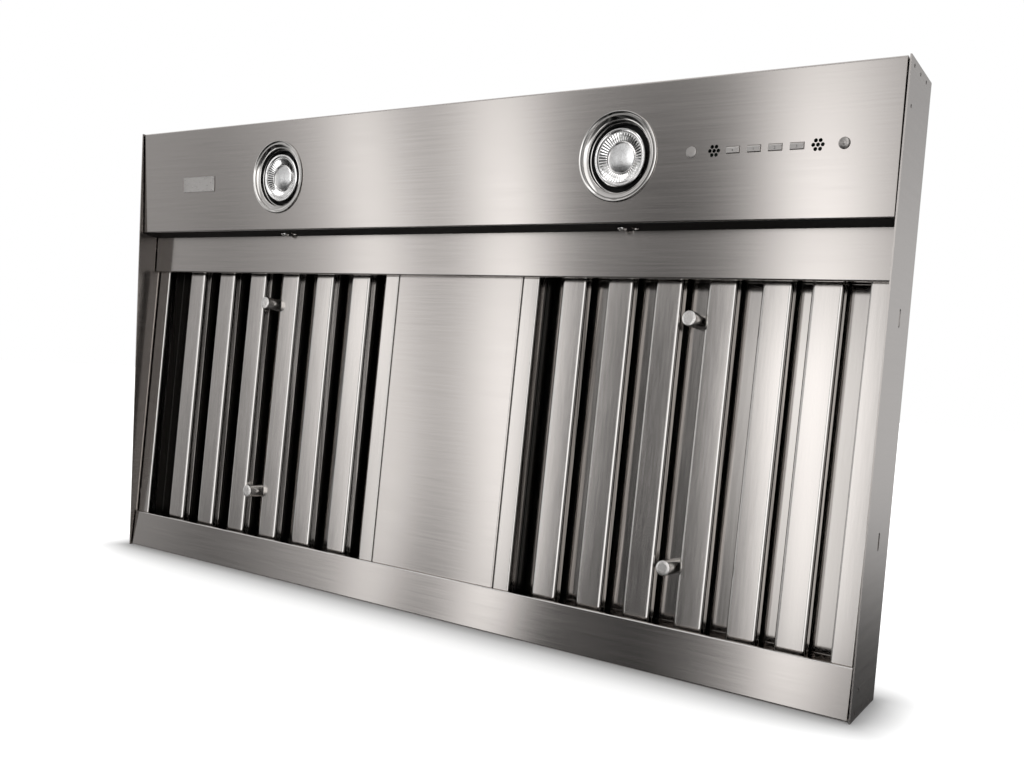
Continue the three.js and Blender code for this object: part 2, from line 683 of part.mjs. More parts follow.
// Stands on a rear baffle, in the slot between two front ones.
function filterKnob() {
  const root = BAFFLE_REAR - FILTER_SHEET - GAP;
  return lathe([
    [0, -KNOB_PROUD],
    [KNOB_RADIUS - KNOB_CHAMFER, -KNOB_PROUD],
    [KNOB_RADIUS, KNOB_CHAMFER - KNOB_PROUD],
    [KNOB_RADIUS, root],
    [0, root],
  ], 'y', 18);
}

function buildFilter(side, [from, to], baffleStarts) {
  const width = to - from;
  const filter = new THREE.Group();
  filter.position.set((from + to) / 2, FILTER_LOWER_Y, FILTER_LOWER_END);
  filter.rotation.x = -FILTER_TILT;
  add(filter, `filter_frame_${side}`, filterFrame(width), brightSteel);

  const opening = width / 2 - FRAME_FACE;
  const starts = baffleStarts.map((start) => start - opening);
  starts.forEach((start, i) => {
    add(filter, `front_baffle_${side}_${i + 1}`, frontBaffle().translate(start, 0, 0), brightSteel);
  });
  const slotStarts = [-opening, ...starts.map((start) => start + BAFFLE_FACE)];
  const slotEnds = [...starts, opening];
  const rearBaffles = slotStarts.map((start, i) => (
    rearBaffle(start - BAFFLE_OVERLAP, slotEnds[i] + BAFFLE_OVERLAP)));
  const ties = tieStrips(opening + BAFFLE_OVERLAP - FILTER_SHEET / 2);
  add(filter, `rear_baffles_${side}`, join(...rearBaffles, ...ties), brightSteel);

  const middle = starts.length / 2;
  const knobX = (slotStarts[middle] + slotEnds[middle]) / 2 + KNOB_OFFSET;
  const upper = filterKnob().translate(knobX, 0, FILTER_LENGTH - KNOB_FROM_UPPER_END);
  const lower = filterKnob().translate(knobX, 0, KNOB_FROM_LOWER_END);
  add(filter, `filter_knob_${side}_upper`, upper, aluminium);
  add(filter, `filter_knob_${side}_lower`, lower, aluminium);
  insert.add(filter);
}

function buildCentrePanel() {
  const from = LEFT_FILTER[1] + CENTRE_PANEL_CLEARANCE;
  const to = RIGHT_FILTER[0] - CENTRE_PANEL_CLEARANCE;
  const section = bentSheet([
    [from, CENTRE_PANEL_FLANGE],
    [from, 0],
    [to, 0],
    [to, CENTRE_PANEL_FLANGE],
  ], SHEET);
  const place = new THREE.Group();
  place.position.set(0, FILTER_LOWER_Y, FILTER_LOWER_END);
  place.rotation.x = -FILTER_TILT;
  add(place, 'centre_panel', push(section, 'z', 0, FILTER_LENGTH), brushedSteel);
  insert.add(place);
}

// ---------------------------------------------------------------- lamps

const LAMP_CONE_START = LAMP_RECESS + LAMP_RIM;
const LAMP_CAP_START = LAMP_CONE_START + LAMP_CONE_LENGTH;
const LAMP_CAP_END = LAMP_CAP_START + LAMP_CAP_LENGTH;

function lampTrim() {
  const shelf = TRIM_NECK_LENGTH - SHEET;
  const taper = (LAMP_RADIUS - LAMP_CAP_RADIUS) / LAMP_CONE_LENGTH;
  const shelfRadius = LAMP_RADIUS - (shelf - LAMP_CONE_START) * taper + GAP;
  return latheRing([
    [TRIM_RADIUS - TRIM_LIP_WIDTH, -GAP - TRIM_LIP],
    [TRIM_RADIUS - TRIM_LIP / 2, -GAP - TRIM_LIP],
    [TRIM_RADIUS, -GAP - TRIM_LIP / 2],
    [TRIM_RADIUS, -GAP],
    [TRIM_NECK_RADIUS, -GAP],
    [TRIM_NECK_RADIUS, TRIM_NECK_LENGTH],
    [shelfRadius, TRIM_NECK_LENGTH],
    [shelfRadius, shelf],
    [TRIM_BORE_RADIUS, shelf],
    [TRIM_BORE_RADIUS, TRIM_STEP_DEPTH + SHEET],
    [TRIM_STEP_RADIUS, TRIM_STEP_DEPTH],
    [TRIM_STEP_RADIUS + SHEET, TRIM_STEP_DEPTH - GAP],
  ], 'y', TRIM_SEGMENTS);
}

function lamp() {
  const bulb = lathe([
    [0, LAMP_RECESS - LAMP_CROWN],
    [LAMP_CROWN_RADIUS, LAMP_RECESS - LAMP_CROWN / 2],
    [LAMP_CROWN_RADIUS + LAMP_CROWN, LAMP_RECESS],
    [LAMP_RADIUS - LAMP_CROWN, LAMP_RECESS],
    [LAMP_RADIUS, LAMP_RECESS + LAMP_CROWN],
    [LAMP_RADIUS, LAMP_CONE_START],
    [LAMP_CAP_RADIUS, LAMP_CAP_START],
    [LAMP_CAP_RADIUS, LAMP_CAP_END],
    [0, LAMP_CAP_END],
  ], 'y', 22);
  const pins = [-1, 1].map((side) => (
    rod(LAMP_PIN_RADIUS, 'y', LAMP_CAP_END - 1, LAMP_CAP_END + LAMP_PIN_LENGTH, 8)
      .translate(side * LAMP_PIN_SPACING / 2, 0, 0)));
  return join(bulb, ...pins);
}

function lampHolder() {
  const from = LAMP_CAP_END + GAP;
  const bores = [-1, 1].map((side) => (
    rod(LAMP_PIN_RADIUS + GAP, 'y', from - 1, LAMP_CAP_END + LAMP_PIN_LENGTH + GAP, 8)
      .translate(side * LAMP_PIN_SPACING / 2, 0, 0)));
  return cut(rod(HOLDER_RADIUS, 'y', from, from + HOLDER_LENGTH, 20), ...bores);
}

function buildLamps() {
  for (const [side, x] of Object.entries(LAMP_PLACES)) {
    const place = panelPlace(x, LAMP_FROM_FRONT);
    add(place, `lamp_trim_${side}`, lampTrim(), chrome);
    add(place, `lamp_${side}`, lamp(), lampGlass);
    add(place, `lamp_holder_${side}`, lampHolder(), ceramic);
    insert.add(place);
  }
  const top = DECK_UNDERSIDE - GAP;
  const z = INSERT_LENGTH - DRIVER_FROM_FRONT;
  const driver = box(
    -DRIVER_WIDTH / 2, top - DRIVER_DEPTH, z - DRIVER_HEIGHT / 2,
    DRIVER_WIDTH / 2, top, z + DRIVER_HEIGHT / 2);
  add(insert, 'lamp_driver', driver, darkPlastic);
}

// ---------------------------------------------------------------- controls

function button() {
  const halfWidth = BUTTON_WIDTH / 2;
  const halfHeight = BUTTON_HEIGHT / 2;
  const collarBack = BUTTON_COLLAR_FRONT + BUTTON_COLLAR_THICKNESS;
  return join(
    box(-halfWidth, -BUTTON_PROUD, -halfHeight, halfWidth, collarBack, halfHeight),
    box(-halfWidth - BUTTON_COLLAR, BUTTON_COLLAR_FRONT, -halfHeight - BUTTON_COLLAR,
      halfWidth + BUTTON_COLLAR, collarBack, halfHeight + BUTTON_COLLAR),
    rod(BUTTON_STEM_RADIUS, 'y', collarBack - 1, BUTTON_BACK, 12),
  );
}

function controlBoard() {
  const halfHeight = BOARD_HEIGHT / 2;
  const board = box(
    -BOARD_WIDTH / 2, BOARD_FRONT, -halfHeight,
    BOARD_WIDTH / 2, BOARD_FRONT + BOARD_THICKNESS, halfHeight);
  const switches = BUTTON_OFFSETS.map((x) => box(
    x - SWITCH_SIZE / 2, BOARD_FRONT - SWITCH_HEIGHT, -SWITCH_SIZE / 2,
    x + SWITCH_SIZE / 2, BOARD_FRONT + BOARD_THICKNESS / 2, SWITCH_SIZE / 2));
  return join(board, ...switches);
}

function controlHousing() {
  const half = CONTROL_SCREW_OFFSET + HOUSING_END_MARGIN;
  const back = SEAT + HOUSING_DEPTH;
  const tray = cut(
    box(-half, SEAT, -HOUSING_HEIGHT / 2, half, back, HOUSING_HEIGHT / 2),
    box(-half + HOUSING_WALL, SEAT - 1, -HOUSING_HEIGHT / 2 + HOUSING_WALL,
      half - HOUSING_WALL, back - HOUSING_WALL, HOUSING_HEIGHT / 2 - HOUSING_WALL));
  const boardBack = BOARD_FRONT + BOARD_THICKNESS + GAP;
  const ribZ = BOARD_HEIGHT / 2 - RIB_FROM_BOARD_EDGE;
  const ribs = [-1, 1].map((side) => box(
    -BOARD_WIDTH / 2, boardBack, side * ribZ - HOUSING_WALL / 2,
    BOARD_WIDTH / 2, back - HOUSING_WALL / 2, side * ribZ + HOUSING_WALL / 2));
  const bore = CONTROL_SCREW_RADIUS + GAP;
  const bosses = [-1, 1].map((side) => (
    rod(bore + BOSS_WALL, 'y', SEAT, back - HOUSING_WALL / 2, 14).translate(side * CONTROL_SCREW_OFFSET, 0, 0)));
  const bores = [-1, 1].map((side) => (
    rod(bore, 'y', SEAT - 1, CONTROL_SCREW_LENGTH + GAP, 12).translate(side * CONTROL_SCREW_OFFSET, 0, 0)));
  return cut(join(tray, ...ribs, ...bosses), ...bores);
}

function controlScrew() {
  const head = CONTROL_SCREW_HEAD_HEIGHT;
  return lathe([
    [0, -GAP - head],
    [CONTROL_SCREW_HEAD_RADIUS * 0.5, -GAP - head * 0.88],
    [CONTROL_SCREW_HEAD_RADIUS * 0.85, -GAP - head * 0.5],
    [CONTROL_SCREW_HEAD_RADIUS, -GAP],
    [CONTROL_SCREW_RADIUS, -GAP],
    [CONTROL_SCREW_RADIUS, CONTROL_SCREW_LENGTH],
    [0, CONTROL_SCREW_LENGTH],
  ], 'y', 16);
}

function buildControls() {
  const place = panelPlace(CONTROLS_X, CONTROLS_FROM_FRONT);
  const names = ['light_button', 'speed_button_1', 'speed_button_2', 'speed_button_3'];
  names.forEach((name, i) => add(place, name, button().translate(BUTTON_OFFSETS[i], 0, 0), brightSteel));
  add(place, 'control_screw_left', controlScrew().translate(-CONTROL_SCREW_OFFSET, 0, 0), brightSteel);
  add(place, 'control_screw_right', controlScrew().translate(CONTROL_SCREW_OFFSET, 0, 0), brightSteel);
  add(place, 'control_board', controlBoard(), boardGreen);
  add(place, 'control_housing', controlHousing(), darkPlastic);
  insert.add(place);
}

// ---------------------------------------------------------------- blower housing

function blowerScrewPlaces() {
  const flangeMiddle = BLOWER_WIDTH / 2 + BLOWER_FLANGE / 2;
  const sides = SIDE_SCREWS_FROM_REAR.flatMap((z) => [[-flangeMiddle, z], [flangeMiddle, z]]);
  const frontZ = BLOWER_LENGTH + BLOWER_FLANGE / 2;
  return [...sides, [-FRONT_SCREW_OFFSET, frontZ], [FRONT_SCREW_OFFSET, frontZ]];
}

// A shell open to the deck, with its flange's screws in one piece with it.
function blowerHousing() {
  const half = BLOWER_WIDTH / 2;
  const reach = half + BLOWER_FLANGE;
  const shell = join(
    box(-half, BLOWER_BASE, 0, half, BLOWER_TOP, BLOWER_LENGTH),
    box(-reach, BLOWER_BASE, 0, reach, BLOWER_BASE + SHEET, BLOWER_LENGTH + BLOWER_FLANGE),
    ...blowerScrewPlaces().map(([x, z]) => blowerScrew().translate(x, 0, z)));
  return cut(
    shell,
    box(-half + SHEET, BLOWER_BASE - 1, SHEET, half - SHEET, BLOWER_TOP - SHEET, BLOWER_LENGTH - SHEET),
    rod(COLLAR_OPENING_RADIUS, 'y', BLOWER_TOP - 2 * SHEET, BLOWER_TOP + 1, 36).translate(0, 0, COLLAR_FROM_REAR));
}

function blowerScrew() {
  const seat = BLOWER_BASE + SHEET;
  return lathe([
    [0, seat - SCREW_LENGTH],
    [SCREW_RADIUS, seat - SCREW_LENGTH],
    [SCREW_RADIUS, seat - SHEET / 2],
    [SCREW_HEAD_RADIUS, seat - SHEET / 2],
    [SCREW_HEAD_RADIUS * 0.8, seat + SCREW_HEAD_HEIGHT],
    [0, seat + SCREW_HEAD_HEIGHT],
  ], 'y', 8);
}

// ---------------------------------------------------------------- scroll, impeller, motor

// The scroll's outline in (y, z) about the wheel's axis, widened by a wall: a spiral that
// opens from the cut-off, by way of the rear and the deck, into a straight outlet.
function scrollOutline(wall, mouthY) {
  const cutOffZ = SCROLL_END_RADIUS - SCROLL_OUTLET;
  const start = -Math.asin(cutOffZ / SCROLL_START_RADIUS);
  const sweep = 1.5 * Math.PI - start;
  const points = [];
  for (let i = 0; i <= SCROLL_STEPS; i += 1) {
    const share = i / SCROLL_STEPS;
    const angle = start + share * sweep;
    const radius = SCROLL_START_RADIUS + share * (SCROLL_END_RADIUS - SCROLL_START_RADIUS) + wall;
    points.push(new THREE.Vector2(
      WHEEL_AXIS_HEIGHT + radius * Math.cos(angle),
      WHEEL_AXIS_FROM_REAR - radius * Math.sin(angle)));
  }
  points.push(new THREE.Vector2(mouthY, WHEEL_AXIS_FROM_REAR + SCROLL_END_RADIUS + wall));
  points.push(new THREE.Vector2(mouthY, WHEEL_AXIS_FROM_REAR + cutOffZ - wall));
  return new THREE.Shape(points);
}

function scrollHousing() {
  const mouth = MOUTH_PLATE_Y - GAP;
  const outer = SCROLL_HALF_WIDTH + SHEET;
  return cut(
    push(scrollOutline(SHEET, mouth), 'x', -outer, outer),
    push(scrollOutline(0, mouth + 1), 'x', -SCROLL_HALF_WIDTH, SCROLL_HALF_WIDTH),
    rod(INLET_RADIUS, 'x', -outer - 1, outer + 1, 32).translate(0, WHEEL_AXIS_HEIGHT, WHEEL_AXIS_FROM_REAR),
  );
}

// Hangs the scroll from the housing's top, round its mouth.
function scrollMouthPlate() {
  const outletEnd = WHEEL_AXIS_FROM_REAR + SCROLL_END_RADIUS;
  return cut(
    box(-MOUTH_PLATE_REACH, MOUTH_PLATE_Y, COLLAR_FROM_REAR - MOUTH_PLATE_REACH,
      MOUTH_PLATE_REACH, MOUTH_PLATE_Y + SHEET, COLLAR_FROM_REAR + MOUTH_PLATE_REACH),
    box(-SCROLL_HALF_WIDTH, MOUTH_PLATE_Y - 1, outletEnd - SCROLL_OUTLET,
      SCROLL_HALF_WIDTH, MOUTH_PLATE_Y + SHEET + 1, outletEnd));
}

// One forward-curved blade, as a thin arc from the inner to the outer radius.
function blade() {
  const front = [];
  const back = [];
  for (let i = 0; i <= BLADE_STEPS; i += 1) {
    const share = i / BLADE_STEPS;
    const radius = WHEEL_RADIUS - GAP - BLADE_DEPTH * (1 - share);
    const lean = THREE.MathUtils.degToRad(BLADE_LEAN) * share * share * BLADE_DEPTH / WHEEL_RADIUS;
    const half = BLADE_THICKNESS / 2 / radius;
    front.push(new THREE.Vector2(radius * Math.cos(lean + half), radius * Math.sin(lean + half)));
    back.push(new THREE.Vector2(radius * Math.cos(lean - half), radius * Math.sin(lean - half)));
  }
  const section = new THREE.Shape([...back, ...front.reverse()]);
  return push(section, 'x', -WHEEL_HALF_WIDTH + WHEEL_RING / 2, WHEEL_HALF_WIDTH - WHEEL_RING / 2);
}

function impeller() {
  const blades = Array.from({ length: BLADE_COUNT }, (_, i) => (
    blade().rotateX(i * 2 * Math.PI / BLADE_COUNT)));
  const ring = WHEEL_RADIUS - BLADE_DEPTH;
  const wheel = join(
    tube(ring, WHEEL_RADIUS, 'x', -WHEEL_HALF_WIDTH, -WHEEL_HALF_WIDTH + WHEEL_RING, 30),
    tube(ring, WHEEL_RADIUS, 'x', WHEEL_HALF_WIDTH - WHEEL_RING, WHEEL_HALF_WIDTH, 30),
    rod(WHEEL_RADIUS, 'x', -WHEEL_RING / 2, WHEEL_RING / 2, 30),
    rod(HUB_RADIUS, 'x', -HUB_LENGTH / 2, HUB_LENGTH / 2, 20),
    ...blades);
  const bore = rod(SHAFT_RADIUS + GAP, 'x', -HUB_LENGTH, HUB_LENGTH, 16);
  return cut(wheel, bore).translate(0, WHEEL_AXIS_HEIGHT, WHEEL_AXIS_FROM_REAR);
}

function motor() {
  const back = MOTOR_FACE_X - MOTOR_LENGTH;
  const body = lathe([
    [0, back],
    [MOTOR_RADIUS - MOTOR_CHAMFER, back],
    [MOTOR_RADIUS, back + MOTOR_CHAMFER],
    [MOTOR_RADIUS, MOTOR_FACE_X - MOTOR_CHAMFER],
    [MOTOR_RADIUS - MOTOR_CHAMFER, MOTOR_FACE_X],
    [MOTOR_BOSS_RADIUS, MOTOR_FACE_X],
    [MOTOR_BOSS_RADIUS, MOTOR_FACE_X + MOTOR_BOSS_LENGTH],
    [0, MOTOR_FACE_X + MOTOR_BOSS_LENGTH],
  ], 'x', 28);
  const bore = rod(SHAFT_RADIUS + GAP, 'x', MOTOR_FACE_X - SHAFT_IN_MOTOR - GAP, MOTOR_FACE_X + MOTOR_LENGTH, 16);
  return cut(body, bore).translate(0, WHEEL_AXIS_HEIGHT, WHEEL_AXIS_FROM_REAR);
}

function motorShaft() {
  const shaft = rod(SHAFT_RADIUS, 'x', MOTOR_FACE_X - SHAFT_IN_MOTOR, HUB_LENGTH / 2 + 2, 16);
  return shaft.translate(0, WHEEL_AXIS_HEIGHT, WHEEL_AXIS_FROM_REAR);
}

// A band round the motor, on three bent arms whose feet lie on the scroll's side plate.
function motorBracket() {
  const bandInner = MOTOR_RADIUS + GAP;
  const bandOuter = bandInner + BRACKET_SHEET;
  const bandBack = MOTOR_FACE_X - BRACKET_FROM_MOTOR_FACE - BRACKET_BAND;
  const bandFront = bandBack + BRACKET_BAND;
  const foot = -SCROLL_HALF_WIDTH - SHEET - GAP;
  const section = bentSheet([
    [bandBack + BRACKET_SHEET, bandOuter - 1],
    [bandBack + BRACKET_SHEET, BRACKET_REACH],
    [foot, BRACKET_REACH],
    [foot, INLET_RADIUS + BRACKET_SHEET],
  ].reverse(), BRACKET_SHEET);
  const arm = push(section, 'z', -BRACKET_ARM_WIDTH / 2, BRACKET_ARM_WIDTH / 2);
  const arms = BRACKET_ARM_ANGLES.map((angle) => arm.clone().rotateX(THREE.MathUtils.degToRad(angle)));
  const bracket = join(tube(bandInner, bandOuter, 'x', bandBack, bandFront, 28), ...arms);
  return bracket.translate(0, WHEEL_AXIS_HEIGHT, WHEEL_AXIS_FROM_REAR);
}

function buildBlower() {
  add(insert, 'blower_housing', blowerHousing(), galvanisedSteel);
  add(insert, 'scroll_housing', scrollHousing(), galvanisedSteel);
  add(insert, 'scroll_mouth_plate', scrollMouthPlate(), galvanisedSteel);
  add(insert, 'impeller', impeller(), galvanisedSteel);
  add(insert, 'motor_shaft', motorShaft(), brightSteel);
  add(insert, 'motor', motor(), motorPaint);
  add(insert, 'motor_bracket', motorBracket(), galvanisedSteel);
  const capacitor = rod(CAPACITOR_RADIUS, 'x', -CAPACITOR_LENGTH / 2, CAPACITOR_LENGTH / 2, 24);
  capacitor.translate(CAPACITOR_X, CAPACITOR_Y, SEAT + CAPACITOR_RADIUS);
  add(insert, 'run_capacitor', capacitor, aluminium);
}

// ---------------------------------------------------------------- duct collar and damper

function ductCollar() {
  const inner = COLLAR_RADIUS - SHEET;
  const seatTop = DAMPER_Y - DAMPER_SHEET / 2 - GAP;
  const ring = latheRing([
    [inner, COLLAR_BASE],
    [COLLAR_RADIUS + COLLAR_FLANGE, COLLAR_BASE],
    [COLLAR_RADIUS + COLLAR_FLANGE, COLLAR_BASE + SHEET],
    [COLLAR_RADIUS, COLLAR_BASE + SHEET],
    [COLLAR_RADIUS, OVERALL_HEIGHT],
    [inner, OVERALL_HEIGHT],
    [inner, seatTop],
    [inner - DAMPER_SEAT, seatTop],
    [inner - DAMPER_SEAT, seatTop - SHEET],
    [inner, seatTop - SHEET],
  ], 'y', 32);
  const rodHoles = rod(ROD_RADIUS + GAP, 'z', -COLLAR_RADIUS - 2, COLLAR_RADIUS + 2, 16);
  return cut(ring, rodHoles.translate(0, DAMPER_Y, 0)).translate(0, 0, COLLAR_FROM_REAR);
}

// The right-hand half disc, with knuckles round the rod and notches for the other's knuckles.
function damperFlap() {
  const radius = COLLAR_RADIUS - SHEET - DAMPER_CLEARANCE;
  const edge = Math.asin(KNUCKLE_BORE / radius);
  const outline = new THREE.Shape();
  outline.absarc(0, 0, radius, edge, Math.PI - edge, false);
  const sheet = push(outline, 'y', -DAMPER_SHEET / 2, DAMPER_SHEET / 2, 16);
  const knuckleOuter = KNUCKLE_BORE + KNUCKLE_WALL;
  const knuckles = KNUCKLE_PLACES.map((z) => (
    tube(KNUCKLE_BORE, knuckleOuter, 'z', z - KNUCKLE_LENGTH / 2, z + KNUCKLE_LENGTH / 2, 12)));
  const notchHalf = KNUCKLE_LENGTH / 2 + KNUCKLE_CLEARANCE;
  const notches = KNUCKLE_PLACES.map((z) => box(
    0, -1, -z - notchHalf,
    knuckleOuter + KNUCKLE_CLEARANCE, 1, -z + notchHalf));
  return join(cut(sheet, ...notches), ...knuckles);
}

function buildDuctCollar() {
  add(insert, 'duct_collar', ductCollar(), galvanisedSteel);
  const rodEnd = COLLAR_RADIUS + ROD_END;
  const damperRod = rod(ROD_RADIUS, 'z', COLLAR_FROM_REAR - rodEnd, COLLAR_FROM_REAR + rodEnd, 16);
  add(insert, 'damper_rod', damperRod.translate(0, DAMPER_Y, 0), brightSteel);
  const right = damperFlap().translate(0, DAMPER_Y, COLLAR_FROM_REAR);
  const left = damperFlap().rotateY(Math.PI).translate(0, DAMPER_Y, COLLAR_FROM_REAR);
  add(insert, 'damper_flap_right', right, galvanisedSteel);
  add(insert, 'damper_flap_left', left, galvanisedSteel);
}

// ---------------------------------------------------------------- junction box

function junctionBox() {
  const half = JUNCTION_WIDTH / 2;
  const z0 = JUNCTION_Z - JUNCTION_LENGTH / 2;
  const z1 = z0 + JUNCTION_LENGTH;
  const top = BLOWER_BASE + JUNCTION_HEIGHT;
  const knockout = tube(KNOCKOUT_RADIUS - 1, KNOCKOUT_RADIUS, 'x', 0, KNOCKOUT_SCORE, 24);
  return cut(
    box(JUNCTION_X - half, BLOWER_BASE, z0, JUNCTION_X + half, top, z1),
    box(JUNCTION_X - half + SHEET, BLOWER_BASE + SHEET, z0 + SHEET, JUNCTION_X + half - SHEET, top + 1, z1 - SHEET),
    knockout.translate(JUNCTION_X + half - KNOCKOUT_SCORE / 2, BLOWER_BASE + JUNCTION_HEIGHT / 2, JUNCTION_Z),
  );
}

function junctionCover() {
  const half = JUNCTION_WIDTH / 2 + SEAT;
  const top = BLOWER_BASE + JUNCTION_HEIGHT + SEAT;
  const section = bentSheet([
    [JUNCTION_X + half, top - JUNCTION_LIP],
    [JUNCTION_X + half, top],
    [JUNCTION_X - half, top],
    [JUNCTION_X - half, top - JUNCTION_LIP],
  ], SHEET);
  const halfLength = JUNCTION_LENGTH / 2;
  return push(section, 'z', JUNCTION_Z - halfLength, JUNCTION_Z + halfLength);
}

function buildJunctionBox() {
  add(insert, 'junction_box', junctionBox(), galvanisedSteel);
  add(insert, 'junction_cover', junctionCover(), galvanisedSteel);
}

// ---------------------------------------------------------------- the whole insert

buildTray();
buildFilter('left', LEFT_FILTER, LEFT_BAFFLE_STARTS);
buildFilter('right', RIGHT_FILTER, RIGHT_BAFFLE_STARTS);
buildCentrePanel();
buildLamps();
buildControls();
buildBlower();
buildDuctCollar();
buildJunctionBox();

// The origin is under the middle of the insert's box.
const bounds = new THREE.Box3().setFromObject(insert, true);
insert.position.y = -(bounds.min.y + bounds.max.y) / 2;

export default insert;
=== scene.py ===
# %% [markdown]
# # A range hood insert, seen from below
# The object is a shallow stainless tray that hangs in a kitchen cabinet: a control panel with
# two lamps, two baffle filters, and behind them a blower box with a duct collar. The measured
# model is loaded first, as a fixed frame. Everything made here is placed from its pieces.

# %% Load the frame
import math
import bmesh
import bpy
from mathutils import Matrix, Vector


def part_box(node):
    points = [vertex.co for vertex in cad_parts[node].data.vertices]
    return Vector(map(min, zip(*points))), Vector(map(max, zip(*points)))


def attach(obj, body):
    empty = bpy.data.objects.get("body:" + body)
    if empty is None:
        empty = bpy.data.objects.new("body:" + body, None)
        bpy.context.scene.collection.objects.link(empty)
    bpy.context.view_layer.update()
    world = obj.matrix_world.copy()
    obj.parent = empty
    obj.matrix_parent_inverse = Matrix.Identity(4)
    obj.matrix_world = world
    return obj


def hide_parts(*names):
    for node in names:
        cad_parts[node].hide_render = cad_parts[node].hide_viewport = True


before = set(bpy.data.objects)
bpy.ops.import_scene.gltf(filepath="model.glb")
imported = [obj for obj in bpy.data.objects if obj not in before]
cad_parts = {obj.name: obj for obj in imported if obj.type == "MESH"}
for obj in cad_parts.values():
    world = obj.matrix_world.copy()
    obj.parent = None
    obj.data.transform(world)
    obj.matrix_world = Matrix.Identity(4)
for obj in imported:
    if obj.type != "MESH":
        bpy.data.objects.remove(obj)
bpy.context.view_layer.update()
MM = 0.001
print("pieces in the frame:", len(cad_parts))

# %% [markdown]
# ## The camera
# The photograph was taken from the right, close to the tray and below its middle, with a
# slightly rolled camera and the picture's centre shifted. A shifted lens keeps the upright
# edges of the tray as they converge in the photograph, which turning the camera wouldn't.

# %% Place the camera
rim_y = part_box("side_panel_left")[0].y
CAMERA_X, CAMERA_FROM_RIM, CAMERA_Z = 0.6022, 0.6730, 0.2457
CAMERA_PITCH, CAMERA_ROLL, CAMERA_TURN = 85.65, -4.08, 29.87
CAMERA_LENS, CAMERA_SHIFT = 32.63, (-0.0999, 0.0578)

bpy.ops.object.camera_add(
    location=(CAMERA_X, rim_y - CAMERA_FROM_RIM, CAMERA_Z),
    rotation=[math.radians(a) for a in (CAMERA_PITCH, CAMERA_ROLL, CAMERA_TURN)])
camera = bpy.context.object
camera.data.lens = CAMERA_LENS
camera.data.sensor_width = 36
camera.data.shift_x, camera.data.shift_y = CAMERA_SHIFT
bpy.context.scene.camera = camera
print("camera at", tuple(round(c, 3) for c in camera.location))

# %% [markdown]
# ## The studio
# Brushed steel has hardly any colour of its own: what one sees on it is the studio. The
# photograph's panels carry broad upright bands, bright where a soft box stood behind the
# camera and dark between them. The bands are laid round the horizon of the world as colour
# ramps, which the steel mirrors, while the camera and all dull surfaces see plain white.

# %% Helpers for node trees
scene = bpy.context.scene
scene.view_settings.view_transform = "Standard"


def new_node(tree, kind, **values):
    node = tree.nodes.new(kind)
    for name, value in values.items():
        setattr(node, name, value)
    return node


def math_node(tree, operation, first, second=0.0):
    node = new_node(tree, "ShaderNodeMath", operation=operation)
    for socket, value in zip(node.inputs, (first, second)):
        if isinstance(value, (int, float)):
            socket.default_value = value
        else:
            tree.links.new(value, socket)
    return node.outputs[0]


def ramp_node(tree, factor, stops):
    """A colour ramp through (position, grey or colour) stops."""
    node = new_node(tree, "ShaderNodeValToRGB")
    ramp = node.color_ramp
    while len(ramp.elements) < len(stops):
        ramp.elements.new(0.5)
    for element, (position, colour) in zip(ramp.elements, stops):
        if isinstance(colour, (int, float)):
            colour = (colour, colour, colour)
        element.position = position
        element.color = (*colour, 1)
    tree.links.new(factor, node.inputs[0])
    return node.outputs[0]


# %% Soft bands round the horizon
# Each pair is a direction in degrees, from straight behind the camera's side of the tray and
# towards its right, and how bright the studio is there, with 1 for white. The levels are
# chosen so that the panels mirror the tones that the photograph shows. Below the horizon the
# soft boxes are narrower and the dark between them is deeper, because they end above the floor.
HIGH_BANDS = (
    (-60, 0.49), (-55, 0.43), (-52.5, 0.35), (-50.5, 0.55), (-48.7, 0.63), (-47, 1.09),
    (-45.9, 1.83), (-44.9, 2.07), (-43.9, 1.46), (-42.5, 0.74), (-41, 0.69), (-39.6, 1.19),
    (-38.2, 1.92), (-36.5, 2.08), (-35, 1.23), (-33.5, 0.53), (-31.8, 0.30), (-30, 0.21),
    (-28, 0.06), (-26.2, 0.11), (-24.4, 0.19), (-22.6, 0.66), (-20.9, 1.52), (-19.3, 2.22),
    (-17.4, 2.16), (-15.6, 1.60), (-14, 1.02), (-11, 0.57), (-8, 0.32))
LOW_BANDS = (
    (-60, 0.37), (-55, 0.35), (-52, 0.09), (-49.5, 0.20), (-47, 0.32), (-45.2, 0.21),
    (-44.1, 1.07), (-42.8, 1.94), (-41.6, 1.31), (-40.5, 0.36), (-39.2, 0.32), (-38, 0.58),
    (-36.8, 1.59), (-35.5, 2.25), (-34.3, 1.46), (-33, 0.19), (-31.5, 0.07), (-29, 0.11),
    (-26, 0.03), (-23.5, 0.09), (-21.6, 0.16), (-20, 0.42), (-18.6, 1.49), (-17.2, 2.15),
    (-15.8, 1.68), (-14, 0.83), (-11, 0.46), (-8, 0.22))
BANDS_SPAN = (-60, -8)
# The rest of the room, all round.
ROOM = (
    (-180, 0.5), (-150, 0.85), (-115, 1.0), (-90, 1.4), (-72, 0.9), (-60, 0.46), (-8, 0.32),
    (-2, 1.0), (6, 2.0), (32, 2.0), (42, 0.5), (52, 0.19), (122, 0.19), (140, 0.35),
    (147, 1.2), (155, 0.7), (167, 0.58), (180, 0.5))
# Degrees above the horizon, and the share of the brightness that is left there.
HEIGHTS = (
    (-90, 0.05), (-30, 0.05), (-18, 0.06), (-14.4, 0.15), (-11.4, 0.48), (-7.5, 0.9), (-4, 1),
    (8, 0.96), (15, 0.78), (22, 0.72), (35, 0.75), (60, 0.95), (90, 1))
# Degrees of turn, and the share that is left there at least, however low: the sides and the
# back of the tray mirror those parts of the room.
LOW_LIGHT = (
    (-180, 0.4), (-76, 0.4), (-64, 0), (12, 0), (30, 0.4), (148, 0.4), (158, 0), (174, 0),
    (180, 0.4))
